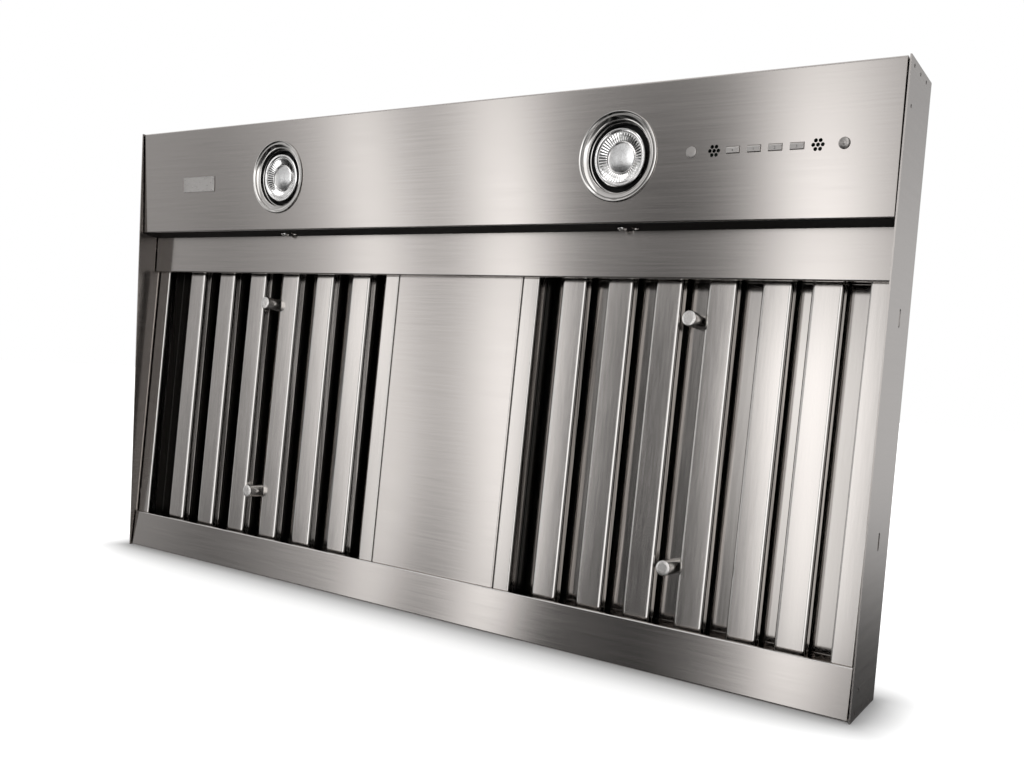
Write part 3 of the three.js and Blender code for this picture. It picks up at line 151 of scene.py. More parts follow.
# Degrees of height over which the low bands turn into the high ones, and the high ones into
# haze, and how bright the haze is.
LOW_TO_HIGH, HIGH_TO_HAZE, HAZE = (-6, 7), (8, 24), 0.75
# What dull surfaces see, and what the camera sees.
DULL_LIGHT, BACKDROP = 1.6, 1.0
# A ramp's colours end at 1, so all levels are shared out by the brightest one that is allowed.
BRIGHTEST = 2.4

world = bpy.data.worlds.new("studio")
scene.world = world
world.use_nodes = True
world.cycles.sampling_method = "NONE"
tree = world.node_tree
tree.nodes.clear()
direction = new_node(tree, "ShaderNodeTexCoord").outputs["Generated"]
parts = new_node(tree, "ShaderNodeSeparateXYZ")
tree.links.new(direction, parts.inputs[0])
x, y, z = parts.outputs
turn_angle = math_node(tree, "ARCTAN2", x, math_node(tree, "MULTIPLY", y, -1.0))
climb = math_node(tree, "ARCSINE", z)


def share_along(angle, span):
    """How far the angle lies along a span of degrees: 0 at its start and 1 at its end."""
    low, high = span
    past_low = math_node(tree, "SUBTRACT", angle, math.radians(low))
    share = math_node(tree, "DIVIDE", past_low, math.radians(high - low))
    share.node.use_clamp = True
    return share


def over(angle, stops, span):
    """A ramp over a span of degrees, through (degrees, brightness) stops."""
    low, high = span
    shares = [((a - low) / (high - low), level / BRIGHTEST) for a, level in stops]
    return ramp_node(tree, share_along(angle, span), shares)


def blend(factor, first, second):
    """The first value where the factor is 0, and the second where it is 1."""
    difference = math_node(tree, "SUBTRACT", second, first)
    change = math_node(tree, "MULTIPLY", factor, difference)
    return math_node(tree, "ADD", first, change)


bands = blend(share_along(climb, LOW_TO_HIGH), over(turn_angle, LOW_BANDS, BANDS_SPAN),
              over(turn_angle, HIGH_BANDS, BANDS_SPAN))
bands = blend(share_along(climb, HIGH_TO_HAZE), bands, HAZE / BRIGHTEST)
after_first, before_last = (
    math_node(tree, test, turn_angle, math.radians(limit))
    for test, limit in zip(("GREATER_THAN", "LESS_THAN"), BANDS_SPAN))
in_bands = math_node(tree, "MULTIPLY", after_first, before_last)
all_round = blend(in_bands, over(turn_angle, ROOM, (-180, 180)), bands)
share_left = over(climb, [(a, share * BRIGHTEST) for a, share in HEIGHTS], (-90, 90))
low_light = over(turn_angle, [(a, share * BRIGHTEST) for a, share in LOW_LIGHT], (-180, 180))
share_left = math_node(tree, "MAXIMUM", share_left, low_light)
all_round = math_node(tree, "MULTIPLY", all_round, share_left)
seen_by_gloss = math_node(tree, "MULTIPLY", all_round, BRIGHTEST)
rays = new_node(tree, "ShaderNodeLightPath").outputs
seen_by_dull = blend(rays["Is Camera Ray"], DULL_LIGHT, BACKDROP)
background = new_node(tree, "ShaderNodeBackground")
background.inputs["Color"].default_value = (1, 1, 1, 1)
strength = blend(rays["Is Glossy Ray"], seen_by_dull, seen_by_gloss)
tree.links.new(strength, background.inputs["Strength"])
tree.links.new(background.outputs[0], new_node(tree, "ShaderNodeOutputWorld").inputs["Surface"])
print("bands:", len(HIGH_BANDS), "and", len(LOW_BANDS))

# %% [markdown]
# The floor is plain white and dull, so that the world lights it to the same white as the
# backdrop, and the tray leaves its soft shadow. The tray's shadow is narrow and dark, so a
# painted shadow darkens the paper close to the tray as well. It is hidden from mirror rays: the
# steel sees the bands below the horizon too.

# %% Lay the floor
TRAY_DEPTH = 68
# Millimetres from the tray, and how white the painted shadow leaves the paper there.
SHADE = ((0, 0.33), (7, 0.44), (14, 0.57), (22, 0.68), (32, 0.8), (42, 0.9), (56, 0.98), (75, 1))
SHADE_REACH = 100

bpy.ops.mesh.primitive_plane_add(size=14, location=(0, 0, 0))
floor = bpy.context.object
floor.name = "floor"
floor.visible_glossy = False
paper = bpy.data.materials.new("floor_paper")
paper.use_nodes = True
paper_shader = paper.node_tree.nodes["Principled BSDF"]
tree = paper.node_tree
parts = new_node(tree, "ShaderNodeSeparateXYZ")
tree.links.new(new_node(tree, "ShaderNodeTexCoord").outputs["Object"], parts.inputs[0])
half_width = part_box("side_panel_right")[1].x
sideways = math_node(tree, "ABSOLUTE", parts.outputs[0])
square_sum = 0.0
for further, nearer in ((sideways, half_width), (rim_y, parts.outputs[1]),
                        (parts.outputs[1], rim_y + TRAY_DEPTH * MM)):
    beyond = math_node(tree, "MAXIMUM", math_node(tree, "SUBTRACT", further, nearer), 0.0)
    square = math_node(tree, "MULTIPLY", beyond, beyond)
    square_sum = math_node(tree, "ADD", square_sum, square)
distance = math_node(tree, "SQRT", square_sum)
share = math_node(tree, "MULTIPLY", distance, 1 / (SHADE_REACH * MM))
# A painted shadow: the paper's colour darkens towards the tray.
shade = ramp_node(tree, share, [(mm / SHADE_REACH, level) for mm, level in SHADE])
tree.links.new(shade, paper_shader.inputs["Base Color"])
paper_shader.inputs["Roughness"].default_value = 1
paper_shader.inputs["Specular IOR Level"].default_value = 0
floor.data.materials.append(paper)
print("floor laid:", tuple(floor.dimensions))

# %% [markdown]
# ## Brushed stainless steel
# Steel sheet is brushed with an abrasive belt, so it is scored along one direction. Seen from
# a step away the scores do two things: they blur reflections across the grain and leave them
# sharp along it, and they show as faint streaks. The first is the shader's anisotropy, with
# its tangent across the grain. The second is noise, squeezed across the grain and drawn out
# along it, which shifts roughness, colour and height a little.

# %% A recipe for metal
def metal(name, colour, roughness, along="X", across="Z", anisotropy=0.0, streak=0.02, bump=0.0,
          grain=(6, 1800), cloud=0.0, cloud_scale=9):
    """A metal with its grain along one axis, and its reflections blurred across another."""
    material = bpy.data.materials.new(name)
    material.use_nodes = True
    tree = material.node_tree
    shader = tree.nodes["Principled BSDF"]
    shader.inputs["Metallic"].default_value = 1
    shader.inputs["Anisotropic"].default_value = anisotropy
    place = new_node(tree, "ShaderNodeTexCoord").outputs["Object"]
    squeeze = new_node(tree, "ShaderNodeMapping")
    squeeze.inputs["Scale"].default_value = [grain[axis != along] for axis in "XYZ"]
    tree.links.new(place, squeeze.inputs["Vector"])
    streaks = new_node(tree, "ShaderNodeTexNoise")
    streaks.inputs["Scale"].default_value = 1
    streaks.inputs["Detail"].default_value = 4
    streaks.inputs["Roughness"].default_value = 0.6
    tree.links.new(squeeze.outputs[0], streaks.inputs["Vector"])
    fine = streaks.outputs["Fac"]
    clouds = new_node(tree, "ShaderNodeTexNoise")
    clouds.inputs["Scale"].default_value = cloud_scale
    clouds.inputs["Detail"].default_value = 3
    tree.links.new(place, clouds.inputs["Vector"])
    mixed = math_node(tree, "ADD", math_node(tree, "MULTIPLY", fine, 1 - cloud),
                      math_node(tree, "MULTIPLY", clouds.outputs["Fac"], cloud))
    dark = [c * (1 - streak) for c in colour]
    light = [min(c * (1 + streak), 1) for c in colour]
    tree.links.new(ramp_node(tree, mixed, [(0.3, dark), (0.7, light)]), shader.inputs["Base Color"])
    rough = ramp_node(tree, mixed, [(0.3, roughness * 0.88), (0.7, roughness * 1.12)])
    tree.links.new(rough, shader.inputs["Roughness"])
    if anisotropy:
        tangent = new_node(tree, "ShaderNodeCombineXYZ")
        tangent.inputs[across].default_value = 1
        tree.links.new(tangent.outputs[0], shader.inputs["Tangent"])
    if bump:
        height = new_node(tree, "ShaderNodeBump")
        height.inputs["Strength"].default_value = bump
        height.inputs["Distance"].default_value = 0.0001
        tree.links.new(fine, height.inputs["Height"])
        tree.links.new(height.outputs[0], shader.inputs["Normal"])
    return material


# %% Mix the metals
STEEL = (0.604, 0.568, 0.544)
brushed_across = metal("brushed_steel_grain_across", STEEL, 0.18, anisotropy=0.95,
                       bump=0.008, streak=0.045, grain=(14, 750))
brushed_inward = metal("brushed_steel_grain_inward", STEEL, 0.22, along="Y", anisotropy=0.6,
                       bump=0.006, streak=0.03, grain=(14, 700))
baffle_steel = metal("baffle_steel", (0.65, 0.615, 0.59), 0.16, along="Z", streak=0.08,
                     grain=(4, 450), cloud=0.4)
burnished = metal("burnished_bend", (0.56, 0.54, 0.52), 0.12, along="Z", grain=(3, 500))
# Painted shade: a darker copy of the flange steel for the right filter's flanges.
flange_painted_shade = metal("flange_painted_shade", (0.24, 0.228, 0.218), 0.14, along="Z", streak=0.85,
                     grain=(2, 420))
bright_flange = metal("bright_flange", (0.66, 0.63, 0.61), 0.1, along="Z", streak=0.7,
                      grain=(2, 420))
# Painted shade: near-black for the rear channels' bends and sides, deep inside the filter.
rear_bend_painted_shade = metal("rear_bend_painted_shade", (0.04, 0.038, 0.036), 0.3, along="Z", grain=(3, 400))
rear_steel = metal("rear_baffle_steel", (0.48, 0.455, 0.435), 0.13, along="Z", streak=0.05,
                   grain=(3, 400))
# Painted shade: near-black for the underside of the step under the control panel.
underside_painted_shade = metal("step_underside_painted_shade", (0.02, 0.019, 0.018), 0.5, streak=0.2, grain=(20, 600))
screw_steel = metal("screw_steel", (0.42, 0.40, 0.385), 0.4, streak=0.06, grain=(300, 300))
button_steel = metal("button_steel", (0.47, 0.45, 0.435), 0.34, streak=0.05, grain=(60, 900))
# The header screws' bright steel, which also paints highlights on the rail's upper bend and on the
# buttons' upper edges.
screw_chrome_and_painted_highlight = metal("screw_chrome_and_painted_highlight", (0.85, 0.83, 0.81), 0.12, streak=0.06, grain=(300, 300))
dome_mirror = metal("lens_dome", (0.93, 0.92, 0.91), 0.32, streak=0.25, grain=(700, 700), bump=0.8)
chrome = metal("trim_chrome", (0.66, 0.64, 0.62), 0.09, streak=0.04, grain=(60, 60))
lens_mirror = metal("lens_mirror", (0.95, 0.94, 0.93), 0.12, streak=0.03, grain=(400, 400),
                    bump=0.5)
turned_metal = metal("turned_aluminium", (0.76, 0.74, 0.72), 0.24, along="Y", streak=0.08,
                     grain=(30, 900))
zinc = metal("galvanised_steel", (0.50, 0.51, 0.52), 0.38, streak=0.14, grain=(70, 70),
             cloud=0.7, cloud_scale=55)
print("materials so far:", len(bpy.data.materials))

# %% [markdown]
# The few pieces that aren't bare metal get the same treatment in a simpler way: a dielectric
# whose colour and roughness wander a little, as moulded and painted surfaces do.

# %% A recipe for plastic, paint and ceramic
def dull(name, colour, roughness, wander=0.15, scale=60):
    material = bpy.data.materials.new(name)
    material.use_nodes = True
    tree = material.node_tree
    shader = tree.nodes["Principled BSDF"]
    noise = new_node(tree, "ShaderNodeTexNoise")
    noise.inputs["Scale"].default_value = scale
    noise.inputs["Detail"].default_value = 4
    tree.links.new(new_node(tree, "ShaderNodeTexCoord").outputs["Object"], noise.inputs["Vector"])
    spots = noise.outputs["Fac"]
    dark = [c * (1 - wander) for c in colour]
    light = [min(c * (1 + wander), 1) for c in colour]
    tree.links.new(ramp_node(tree, spots, [(0.3, dark), (0.7, light)]), shader.inputs["Base Color"])
    rough = ramp_node(tree, spots, [(0.3, roughness * 0.85), (0.7, min(roughness * 1.15, 1))])
    tree.links.new(rough, shader.inputs["Roughness"])
    return material


black_plastic = dull("black_plastic", (0.022, 0.022, 0.024), 0.5)
board_green = dull("board_lacquer", (0.004, 0.02, 0.01), 0.45)
white_ceramic = dull("white_ceramic", (0.74, 0.71, 0.66), 0.6)
motor_enamel = dull("motor_enamel", (0.03, 0.032, 0.036), 0.35)
mark_ink = dull("mark_ink", (0.03, 0.028, 0.027), 0.6, scale=900)
# Painted shade: near-black for the walls of the gap round each lens.
gap_painted_shade = dull("lamp_gap_painted_shade", (0.004, 0.004, 0.004), 0.7)
print("materials so far:", len(bpy.data.materials))

# %% [markdown]
# ## First coat
# Each piece of the frame gets the finish of its real metal before any of them is remodelled.

# %% Dress the frame's own pieces
def paint(obj, material):
    obj.data.materials.clear()
    obj.data.materials.append(material)


finishes = {
    "side_panel": brushed_inward, "control_panel": brushed_across, "filter_header": brushed_across,
    "rear_rail": brushed_across, "top_deck": brushed_across, "centre_panel": brushed_across,
    "filter_frame": baffle_steel, "front_baffle": baffle_steel, "rear_baffles": baffle_steel,
    "filter_knob": turned_metal, "lamp_trim": chrome, "lamp_driver": black_plastic,
    "lamp_holder": white_ceramic, "lamp_left": lens_mirror, "lamp_right": lens_mirror,
    "light_button": button_steel, "speed_button": button_steel, "control_screw": screw_steel,
    "header_screw": screw_steel, "control_board": board_green, "control_housing": black_plastic,
    "motor_shaft": screw_steel, "damper_rod": screw_steel, "motor_bracket": zinc,
    "run_capacitor": turned_metal, "motor": motor_enamel,
}
for name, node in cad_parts.items():
    match = [key for key in finishes if name.startswith(key)]
    paint(node, finishes[max(match, key=len)] if match else zinc)
print("pieces with a first coat:", len(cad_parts))

# %% [markdown]
# ## The bench
# A few helpers keep each piece's own cell short. An operator acts on everything that is
# selected, so a piece is always taken alone first, and its faces or edges are picked by where
# they lie.

# %% Helpers for modelling
def take(*pieces):
    """Makes these pieces the only ones selected, and the first one active."""
    bpy.ops.object.select_all(action="DESELECT")
    for piece in pieces:
        piece.select_set(True)
    bpy.context.view_layer.objects.active = pieces[0]


def apply_place(piece):
    take(piece)
    bpy.ops.object.transform_apply(location=True, rotation=True, scale=True)


def settle(piece, place):
    """Carries a piece from the bench to its place, and leaves its origin at the frame's."""
    piece.matrix_world = place
    apply_place(piece)
    return piece


def apply_modifier(piece, kind, **values):
    take(piece)
    modifier = piece.modifiers.new(kind.lower(), kind)
    for name, value in values.items():
        setattr(modifier, name, value)
    bpy.ops.object.modifier_apply(modifier=modifier.name)


def pick_edges(piece, wanted):
    """In edit mode, selects only the edges that the test wants."""
    bpy.context.tool_settings.mesh_select_mode = (False, True, False)
    mesh = bmesh.from_edit_mesh(piece.data)
    for part in (*mesh.faces, *mesh.edges, *mesh.verts):
        part.select = False
    for edge in mesh.edges:
        if wanted(edge.verts[0].co, edge.verts[1].co):
            edge.select_set(True)
    bmesh.update_edit_mesh(piece.data)


def join(name, pieces):
    take(*pieces)
    if len(pieces) > 1:
        bpy.ops.object.join()
    pieces[0].name = name
    return pieces[0]


def copy_of(piece, name, place):
    twin = bpy.data.objects.new(name, piece.data.copy())
    scene.collection.objects.link(twin)
    return settle(twin, place)


def smooth(piece, angle=40):
    """Shades bends as round and leaves the flats between them flat."""
    take(piece)
    bpy.ops.object.shade_smooth_by_angle(angle=math.radians(angle))
    apply_modifier(piece, "WEIGHTED_NORMAL", weight=90, keep_sharp=True)
    return piece


def soften(piece, width, segments=2, angle=40):
    """Rounds the sharp edges."""
    apply_modifier(piece, "BEVEL", width=width * MM, segments=segments, limit_method="ANGLE",
                   angle_limit=math.radians(angle), use_clamp_overlap=True, harden_normals=False)
    return smooth(piece, angle)


def dress(piece, material, body="insert", nodes=(), others=(), where=None):
    """The finish, the body that the piece rides on, and the nodes that it stands for.

    Other finishes go on the faces that the function picks by their middle and normal."""
    paint(piece, material)
    for other in others:
        piece.data.materials.append(other)
    if others:
        for face in piece.data.polygons:
            face.material_index = int(where(face.center, face.normal))
    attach(piece, body)
    if nodes:
        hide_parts(*nodes)
    print(piece.name, len(piece.data.polygons), "faces")
    return piece


# %% [markdown]
# ## Folded sheet
# Nearly all of the insert is sheet metal, folded on a press brake. A sheet is made as it is in
# the workshop: a strip is laid down as a plane, each leg is extruded from the last one's edge,
# the corners between them are bevelled to the bend's radius, and Solidify gives the wall. A box
# with its faces deleted would be quicker, but its corners would be sharp, and it is the bends
# that catch the light.

# %% A recipe for folded sheet
def fold_sheet(name, path, ends, bends, wall=1.2, steps=5, edge=0.15):
    """A sheet folded along Z. The path, in X and Y, is its outer face, and the wall lies left."""
    points = [Vector((a, b, 0)) * MM for a, b in path]
    low, high = (end * MM for end in ends)
    leg = points[1] - points[0]
    middle = (points[0] + points[1]) / 2 + Vector((0, 0, (low + high) / 2))
    bpy.ops.object.select_all(action="DESELECT")
    bpy.ops.mesh.primitive_plane_add(
        size=1, location=middle, rotation=(math.pi / 2, 0, math.atan2(leg.y, leg.x)))
    sheet = bpy.context.object
    sheet.name = name
    sheet.scale = (leg.length, high - low, 1)
    apply_place(sheet)

    def stands_at(point):
        def wanted(a, b):
            return (a.xy - point.xy).length < 1e-6 and (b.xy - point.xy).length < 1e-6
        return wanted

    bpy.ops.object.mode_set(mode="EDIT")
    for start, end in zip(points[1:], points[2:]):
        pick_edges(sheet, stands_at(start))
        bpy.ops.mesh.extrude_edges_move(TRANSFORM_OT_translate={"value": end - start})
    for point, radius in zip(points[1:-1], bends):
        if radius:
            pick_edges(sheet, stands_at(point))
            bpy.ops.mesh.bevel(offset=radius * MM, segments=steps, affect="EDGES")
    bpy.ops.object.mode_set(mode="OBJECT")
    apply_modifier(sheet, "SOLIDIFY", thickness=wall * MM, offset=-1, use_even_offset=True)
    return soften(sheet, edge, segments=1) if edge else smooth(sheet)


# Where the bench's X, Y and Z go: a sheet along the width has its section in depth and height.
ALONG_WIDTH = Matrix(((0, 0, 1, 0), (1, 0, 0, 0), (0, 1, 0, 0), (0, 0, 0, 1)))
ALONG_DEPTH = Matrix(((0, 1, 0, 0), (0, 0, 1, 0), (1, 0, 0, 0), (0, 0, 0, 1)))
RIM = Matrix.Translation((0, rim_y, 0))

# %% [markdown]
# ## Turned and drilled pieces
# Lamp trims, screws and knobs are round. A point is drawn along the half section by extruding
# it, and the line is spun about the axis, as a lathe would. Holes are cut with rods.

# %% A recipe for turned pieces and for rods
def turn(name, profile, steps=64, angle=35):
    """Spins a profile of (radius, depth) pairs about the Y axis."""
    points = [Vector((radius, depth, 0)) * MM for radius, depth in profile]
    bpy.ops.object.select_all(action="DESELECT")
    bpy.ops.mesh.primitive_plane_add(size=MM)
    piece = bpy.context.object
    piece.name = name
    bpy.ops.object.mode_set(mode="EDIT")
    bpy.context.tool_settings.mesh_select_mode = (True, False, False)
    bpy.ops.mesh.select_all(action="SELECT")
    bpy.ops.mesh.merge(type="CENTER")
    bpy.ops.transform.translate(value=points[0])
    for start, end in zip(points, points[1:]):
        bpy.ops.mesh.extrude_vertices_move(TRANSFORM_OT_translate={"value": end - start})
    bpy.ops.mesh.select_all(action="SELECT")
    bpy.ops.mesh.spin(steps=steps, angle=math.tau, center=(0, 0, 0), axis=(0, 1, 0))
    bpy.ops.mesh.select_all(action="SELECT")
    bpy.ops.mesh.remove_doubles(threshold=1e-6)
    bpy.ops.mesh.normals_make_consistent(inside=False)
    bpy.ops.object.mode_set(mode="OBJECT")
    take(piece)
    bpy.ops.object.shade_smooth_by_angle(angle=math.radians(angle))
    return piece


def rod(radius, start, end, x=0, z=0, sides=28):
    bpy.ops.object.select_all(action="DESELECT")
    bpy.ops.mesh.primitive_cylinder_add(
        vertices=sides, radius=radius * MM, depth=(end - start) * MM,
        location=Vector((x, (start + end) / 2, z)) * MM, rotation=(math.pi / 2, 0, 0))
    apply_place(bpy.context.object)
    return bpy.context.object


def block(low, high):
    """A box from its lowest to its highest corner."""
    low, high = Vector(low) * MM, Vector(high) * MM
    bpy.ops.object.select_all(action="DESELECT")
    bpy.ops.mesh.primitive_cube_add(size=1, location=(low + high) / 2)
    bpy.context.object.scale = high - low
    apply_place(bpy.context.object)
    return bpy.context.object


def cut_out(piece, cutters):
    tool = join("cutter", cutters)
    apply_modifier(piece, "BOOLEAN", operation="DIFFERENCE", object=tool, solver="EXACT")
    bpy.data.objects.remove(tool)
    return smooth(piece)


# %% [markdown]
# ## The tray's measures
# All in millimetres: X from the middle, depth from the rim, height from the rear wall's outside.
# The control panel leans back from the rim by 3 mm on its way down, and the filters lie on a
# slope between the rail's lip and the header's lip.

# %% Measures and places
# Assembled faces stand a gap apart, and a seat is the sheet's wall and one gap.
GAP, SEAT = 0.3, 1.5
LENGTH, WALL_END, TAB_END = 482, 433.4, 435
PANEL_LOW, PANEL_LOW_DEPTH, STEP_DEPTH, STEP_DROP = 369.5, 4.5, 22, 3.5
HEADER_LOW, HEADER_LOW_DEPTH = 326.3, 20.7
RAIL_TOP, RAIL_TOP_DEPTH = 40.5, 5.3
FACE_AT_RAIL, FACE_AT_HEADER = 8.4, 26.8
FILTER_LOW, FILTER_HIGH, FILTER_THICK = 31, 337.8, 25.4

panel_tilt = math.atan2(PANEL_LOW_DEPTH - SEAT, LENGTH - PANEL_LOW)
slope = (FACE_AT_HEADER - FACE_AT_RAIL) / (HEADER_LOW - RAIL_TOP)
filter_length = (FILTER_HIGH - FILTER_LOW) / math.cos(math.atan(slope))
filter_foot = Vector((0, FACE_AT_RAIL + (FILTER_LOW - RAIL_TOP) * slope, FILTER_LOW)) * MM
on_filters = RIM @ Matrix.Translation(filter_foot) @ Matrix.Rotation(-math.atan(slope), 4, "X")


def on_panel(x, from_front):
    """A place on the control panel's face: its Y goes in, its Z climbs the face."""
    depth = SEAT + from_front * math.sin(panel_tilt)
    height = LENGTH - from_front * math.cos(panel_tilt)
    spot = Vector((x, depth, height)) * MM
    return RIM @ Matrix.Translation(spot) @ Matrix.Rotation(panel_tilt, 4, "X")


print("panel tilt", round(math.degrees(panel_tilt), 2), "filter length", round(filter_length, 1))

# %% [markdown]
# ## Walls with tabs
# The front wall and the control panel are one sheet, and so are the rear wall and the rail.
# At both ends a tab is bent round the corner and lies against the side panel.

# %% Fold the tabs
TAB_WIDTH, TAB_LAP, TAB_DEPTHS = 12, 3, (8.3, 54.3)


def end_tabs(wall_z, inward):
    corner = [(wall_z + inward * TAB_WIDTH, TAB_END), (wall_z, TAB_END),
              (wall_z, WALL_END - TAB_LAP)]
    tabs = []
    for side in (1, -1):
        path = [(z, side * x) for z, x in corner]
        if inward * side < 0:
            path.reverse()
        tabs.append(settle(fold_sheet("tab", path, TAB_DEPTHS, (1,), steps=2), RIM @ ALONG_DEPTH))
    return tabs


# %% [markdown]
# ## Control panel
# The panel holds two lamps, and at its right-hand end a light button, three speed buttons,
# two rosettes of vent holes and a screw at each end. The sheet is folded first and pierced
# afterwards, so that every hole is square to its face. The step under the panel is a bent
# return, and its underside is painted near-black as shade.

# %% Fold and pierce the control panel
LAMPS = {"left": -207.8, "right": 202.1}
LAMP_FROM_FRONT, CONTROLS_X, CONTROLS_FROM_FRONT = 57.9, 331.4, 58.1
BUTTONS = ("light_button", "speed_button_1", "speed_button_2", "speed_button_3")
BUTTON_PITCH, BUTTON_WIDTH, BUTTON_HEIGHT = 17.2, 10.8, 5
button_x = {name: (i - 1.5) * BUTTON_PITCH for i, name in enumerate(BUTTONS)}
VENT_X, VENT_PITCH, VENT_RADIUS, SCREW_X, SCREW_HOLE = 41.8, 3.6, 1.5, 61.7, 1.8
LAMP_HOLE, THROUGH_LAMP, THROUGH = 33.9, (-6, 8), (-4, 4)
HEADER_SCREW_X, HEADER_SCREW_DEPTH = 206, 15.5
# How far right of a header screw's place each hole of the step lies, and its radius.
STEP_HOLES = ((0, 2.3), (11, 3.2))
FACING_DOWN = Matrix.Rotation(math.pi / 2, 4, "X")

panel_path = [(TRAY_DEPTH, LENGTH), (SEAT, LENGTH), (PANEL_LOW_DEPTH, PANEL_LOW),
              (STEP_DEPTH - GAP, PANEL_LOW - STEP_DROP)]
panel = settle(fold_sheet("control_panel_sheet", panel_path, (-WALL_END, WALL_END), (1.8, 1.4)),
               RIM @ ALONG_WIDTH)
holes = [settle(rod(LAMP_HOLE, *THROUGH_LAMP, sides=64), on_panel(x, LAMP_FROM_FRONT))
         for x in LAMPS.values()]
controls = on_panel(CONTROLS_X, CONTROLS_FROM_FRONT)
window_x, window_z = BUTTON_WIDTH / 2 + GAP, BUTTON_HEIGHT / 2 + GAP
for x in button_x.values():
    window = block((x - window_x, THROUGH[0], -window_z), (x + window_x, THROUGH[1], window_z))
    holes.append(settle(window, controls))
for side in (-1, 1):
    holes.append(settle(rod(SCREW_HOLE, *THROUGH, x=side * SCREW_X), controls))
    holes.append(settle(rod(VENT_RADIUS, *THROUGH, x=side * VENT_X), controls))
    for i in range(6):
        angle = i * math.pi / 3
        vent = rod(VENT_RADIUS, *THROUGH, x=side * VENT_X + VENT_PITCH * math.cos(angle),
                   z=VENT_PITCH * math.sin(angle))
        holes.append(settle(vent, controls))
    for right, radius in STEP_HOLES:
        spot = Vector((side * HEADER_SCREW_X + right, HEADER_SCREW_DEPTH,
                       PANEL_LOW - STEP_DROP / 2)) * MM
        place = RIM @ Matrix.Translation(spot) @ FACING_DOWN
        holes.append(settle(rod(radius, *THROUGH), place))
cut_out(panel, holes)
panel = join("control_panel_dressed", [panel, *end_tabs(LENGTH, -1)])
# A near-black steel goes on the return's underside as painted shade.
dress(panel, brushed_across, nodes=["control_panel"], others=[underside_painted_shade],
      where=lambda middle, normal: normal.z < -0.5 and middle.z < (PANEL_LOW + GAP) * MM)

# %% [markdown]
# ## Header and rail
# The header is the narrow strip under the step, and the rail the one at the bottom. Each ends
# in a short lip that the filters rest against. They are folded like the panel. The rail's upper
# bend gets a brighter, smoother steel as a painted highlight.

# %% Fold the header and the rail
HEADER_FLANGE_DEPTH = 11
header_path = [(HEADER_FLANGE_DEPTH, PANEL_LOW + SEAT), (STEP_DEPTH, PANEL_LOW + SEAT),
               (HEADER_LOW_DEPTH, HEADER_LOW), (FACE_AT_HEADER - GAP, HEADER_LOW)]
header = settle(fold_sheet("header_sheet", header_path, (-WALL_END, WALL_END), (1.4, 1.4)),
                RIM @ ALONG_WIDTH)
dress(header, brushed_across, nodes=["filter_header"])

rail_path = [(FACE_AT_RAIL - 2 * GAP, RAIL_TOP), (RAIL_TOP_DEPTH, RAIL_TOP), (SEAT, 0),
             (TRAY_DEPTH - SEAT, 0)]
rail = settle(fold_sheet("rail_sheet", rail_path, (-WALL_END, WALL_END), (1.1, 1.8)),
              RIM @ ALONG_WIDTH)
rail = join("rail_dressed", [rail, *end_tabs(0, 1)])
# Painted highlight: the rail's upper bend gets the header screws' brighter, smoother steel.
dress(rail, brushed_across, nodes=["rear_rail"], others=[screw_chrome_and_painted_highlight],
      where=lambda middle, normal: normal.z > 0.3 and normal.y < -0.3)

# %% [markdown]
# ## Centre panel
# Between the filters lies a plain panel with its sides bent back, off the middle as in the
# photograph. It is a folded sheet on the filters' slope.

# %% Fold the centre panel
CENTRE_LEFT, CENTRE_RIGHT, CENTRE_FLANGE = -53.2, 97.2, 14
centre_path = [(CENTRE_LEFT, CENTRE_FLANGE), (CENTRE_LEFT, 0), (CENTRE_RIGHT, 0),
               (CENTRE_RIGHT, CENTRE_FLANGE)]
centre = settle(fold_sheet("centre_panel_dressed", centre_path, (0, filter_length), (1.6, 1.6)),
                on_filters)
dress(centre, brushed_across, nodes=["centre_panel"])

# %% [markdown]
# ## Baffle filters
# A baffle filter is a frame with two layers of upright channels that face each other. The
# front ones are as wide as a thumb, with hemmed edges; the rear ones close the gaps between
# them and reach round their edges, so that greasy air has to turn twice. A front channel is
# folded once and copied, because all are pressed on one tool. Its bends are worn brighter than
# its face, and its flanges get a streakier finish, which in the right filter is darkened as
# painted shade. The rear channels' bends and sides are painted near-black as shade.

# %% Fold one front baffle
BAFFLE_WALL, RECESS, BAFFLE_FACE, TIP, HEM = 0.8, 7, 26, 16.6, 2.2
HEM_BEND, CHANNEL_BEND, END_GAP = 1.1, 3, 1.1
channel_ends = (END_GAP, filter_length - END_GAP)
baffle_path = [(HEM, TIP), (0, TIP), (0, RECESS), (BAFFLE_FACE, RECESS), (BAFFLE_FACE, TIP),
               (BAFFLE_FACE - HEM, TIP)]
baffle_bends = (HEM_BEND, CHANNEL_BEND, CHANNEL_BEND, HEM_BEND)
first_baffle = fold_sheet("baffle", baffle_path, channel_ends, baffle_bends, wall=BAFFLE_WALL,
                          edge=0)
print("one baffle folded:", len(first_baffle.data.polygons), "faces")

# %% Build both filters
def bend_or_flange(middle, normal):
    """0 on the face, 1 on a bend and 2 on the flange behind it."""
    return 0 if abs(normal.x) < 0.1 else 1 if abs(normal.x) < 0.9 else 2


FILTERS = {
    "left": {"edges": (-433.3, -54), "starts": (28.4, 80.7, 133, 185.3, 237.6, 289.9)},
    "right": {"edges": (98, 432.6), "starts": (20, 67.5, 115, 164, 211, 251.9)},
}
RAIL_FACE, RAIL_FLANGE, REAR_LIP, END_FACE = 17.5, 10, 12, 9
REAR_WALL, REAR_FLANGE, OVERLAP = 24.3, 12.5, 7
# The two flat ties that hold the rear channels together.
TIE_WIDTH, TIE_INSET, TIE_REACH, TIE_DEPTHS = 7, 2.2, 6.6, (22.4, 23.2)
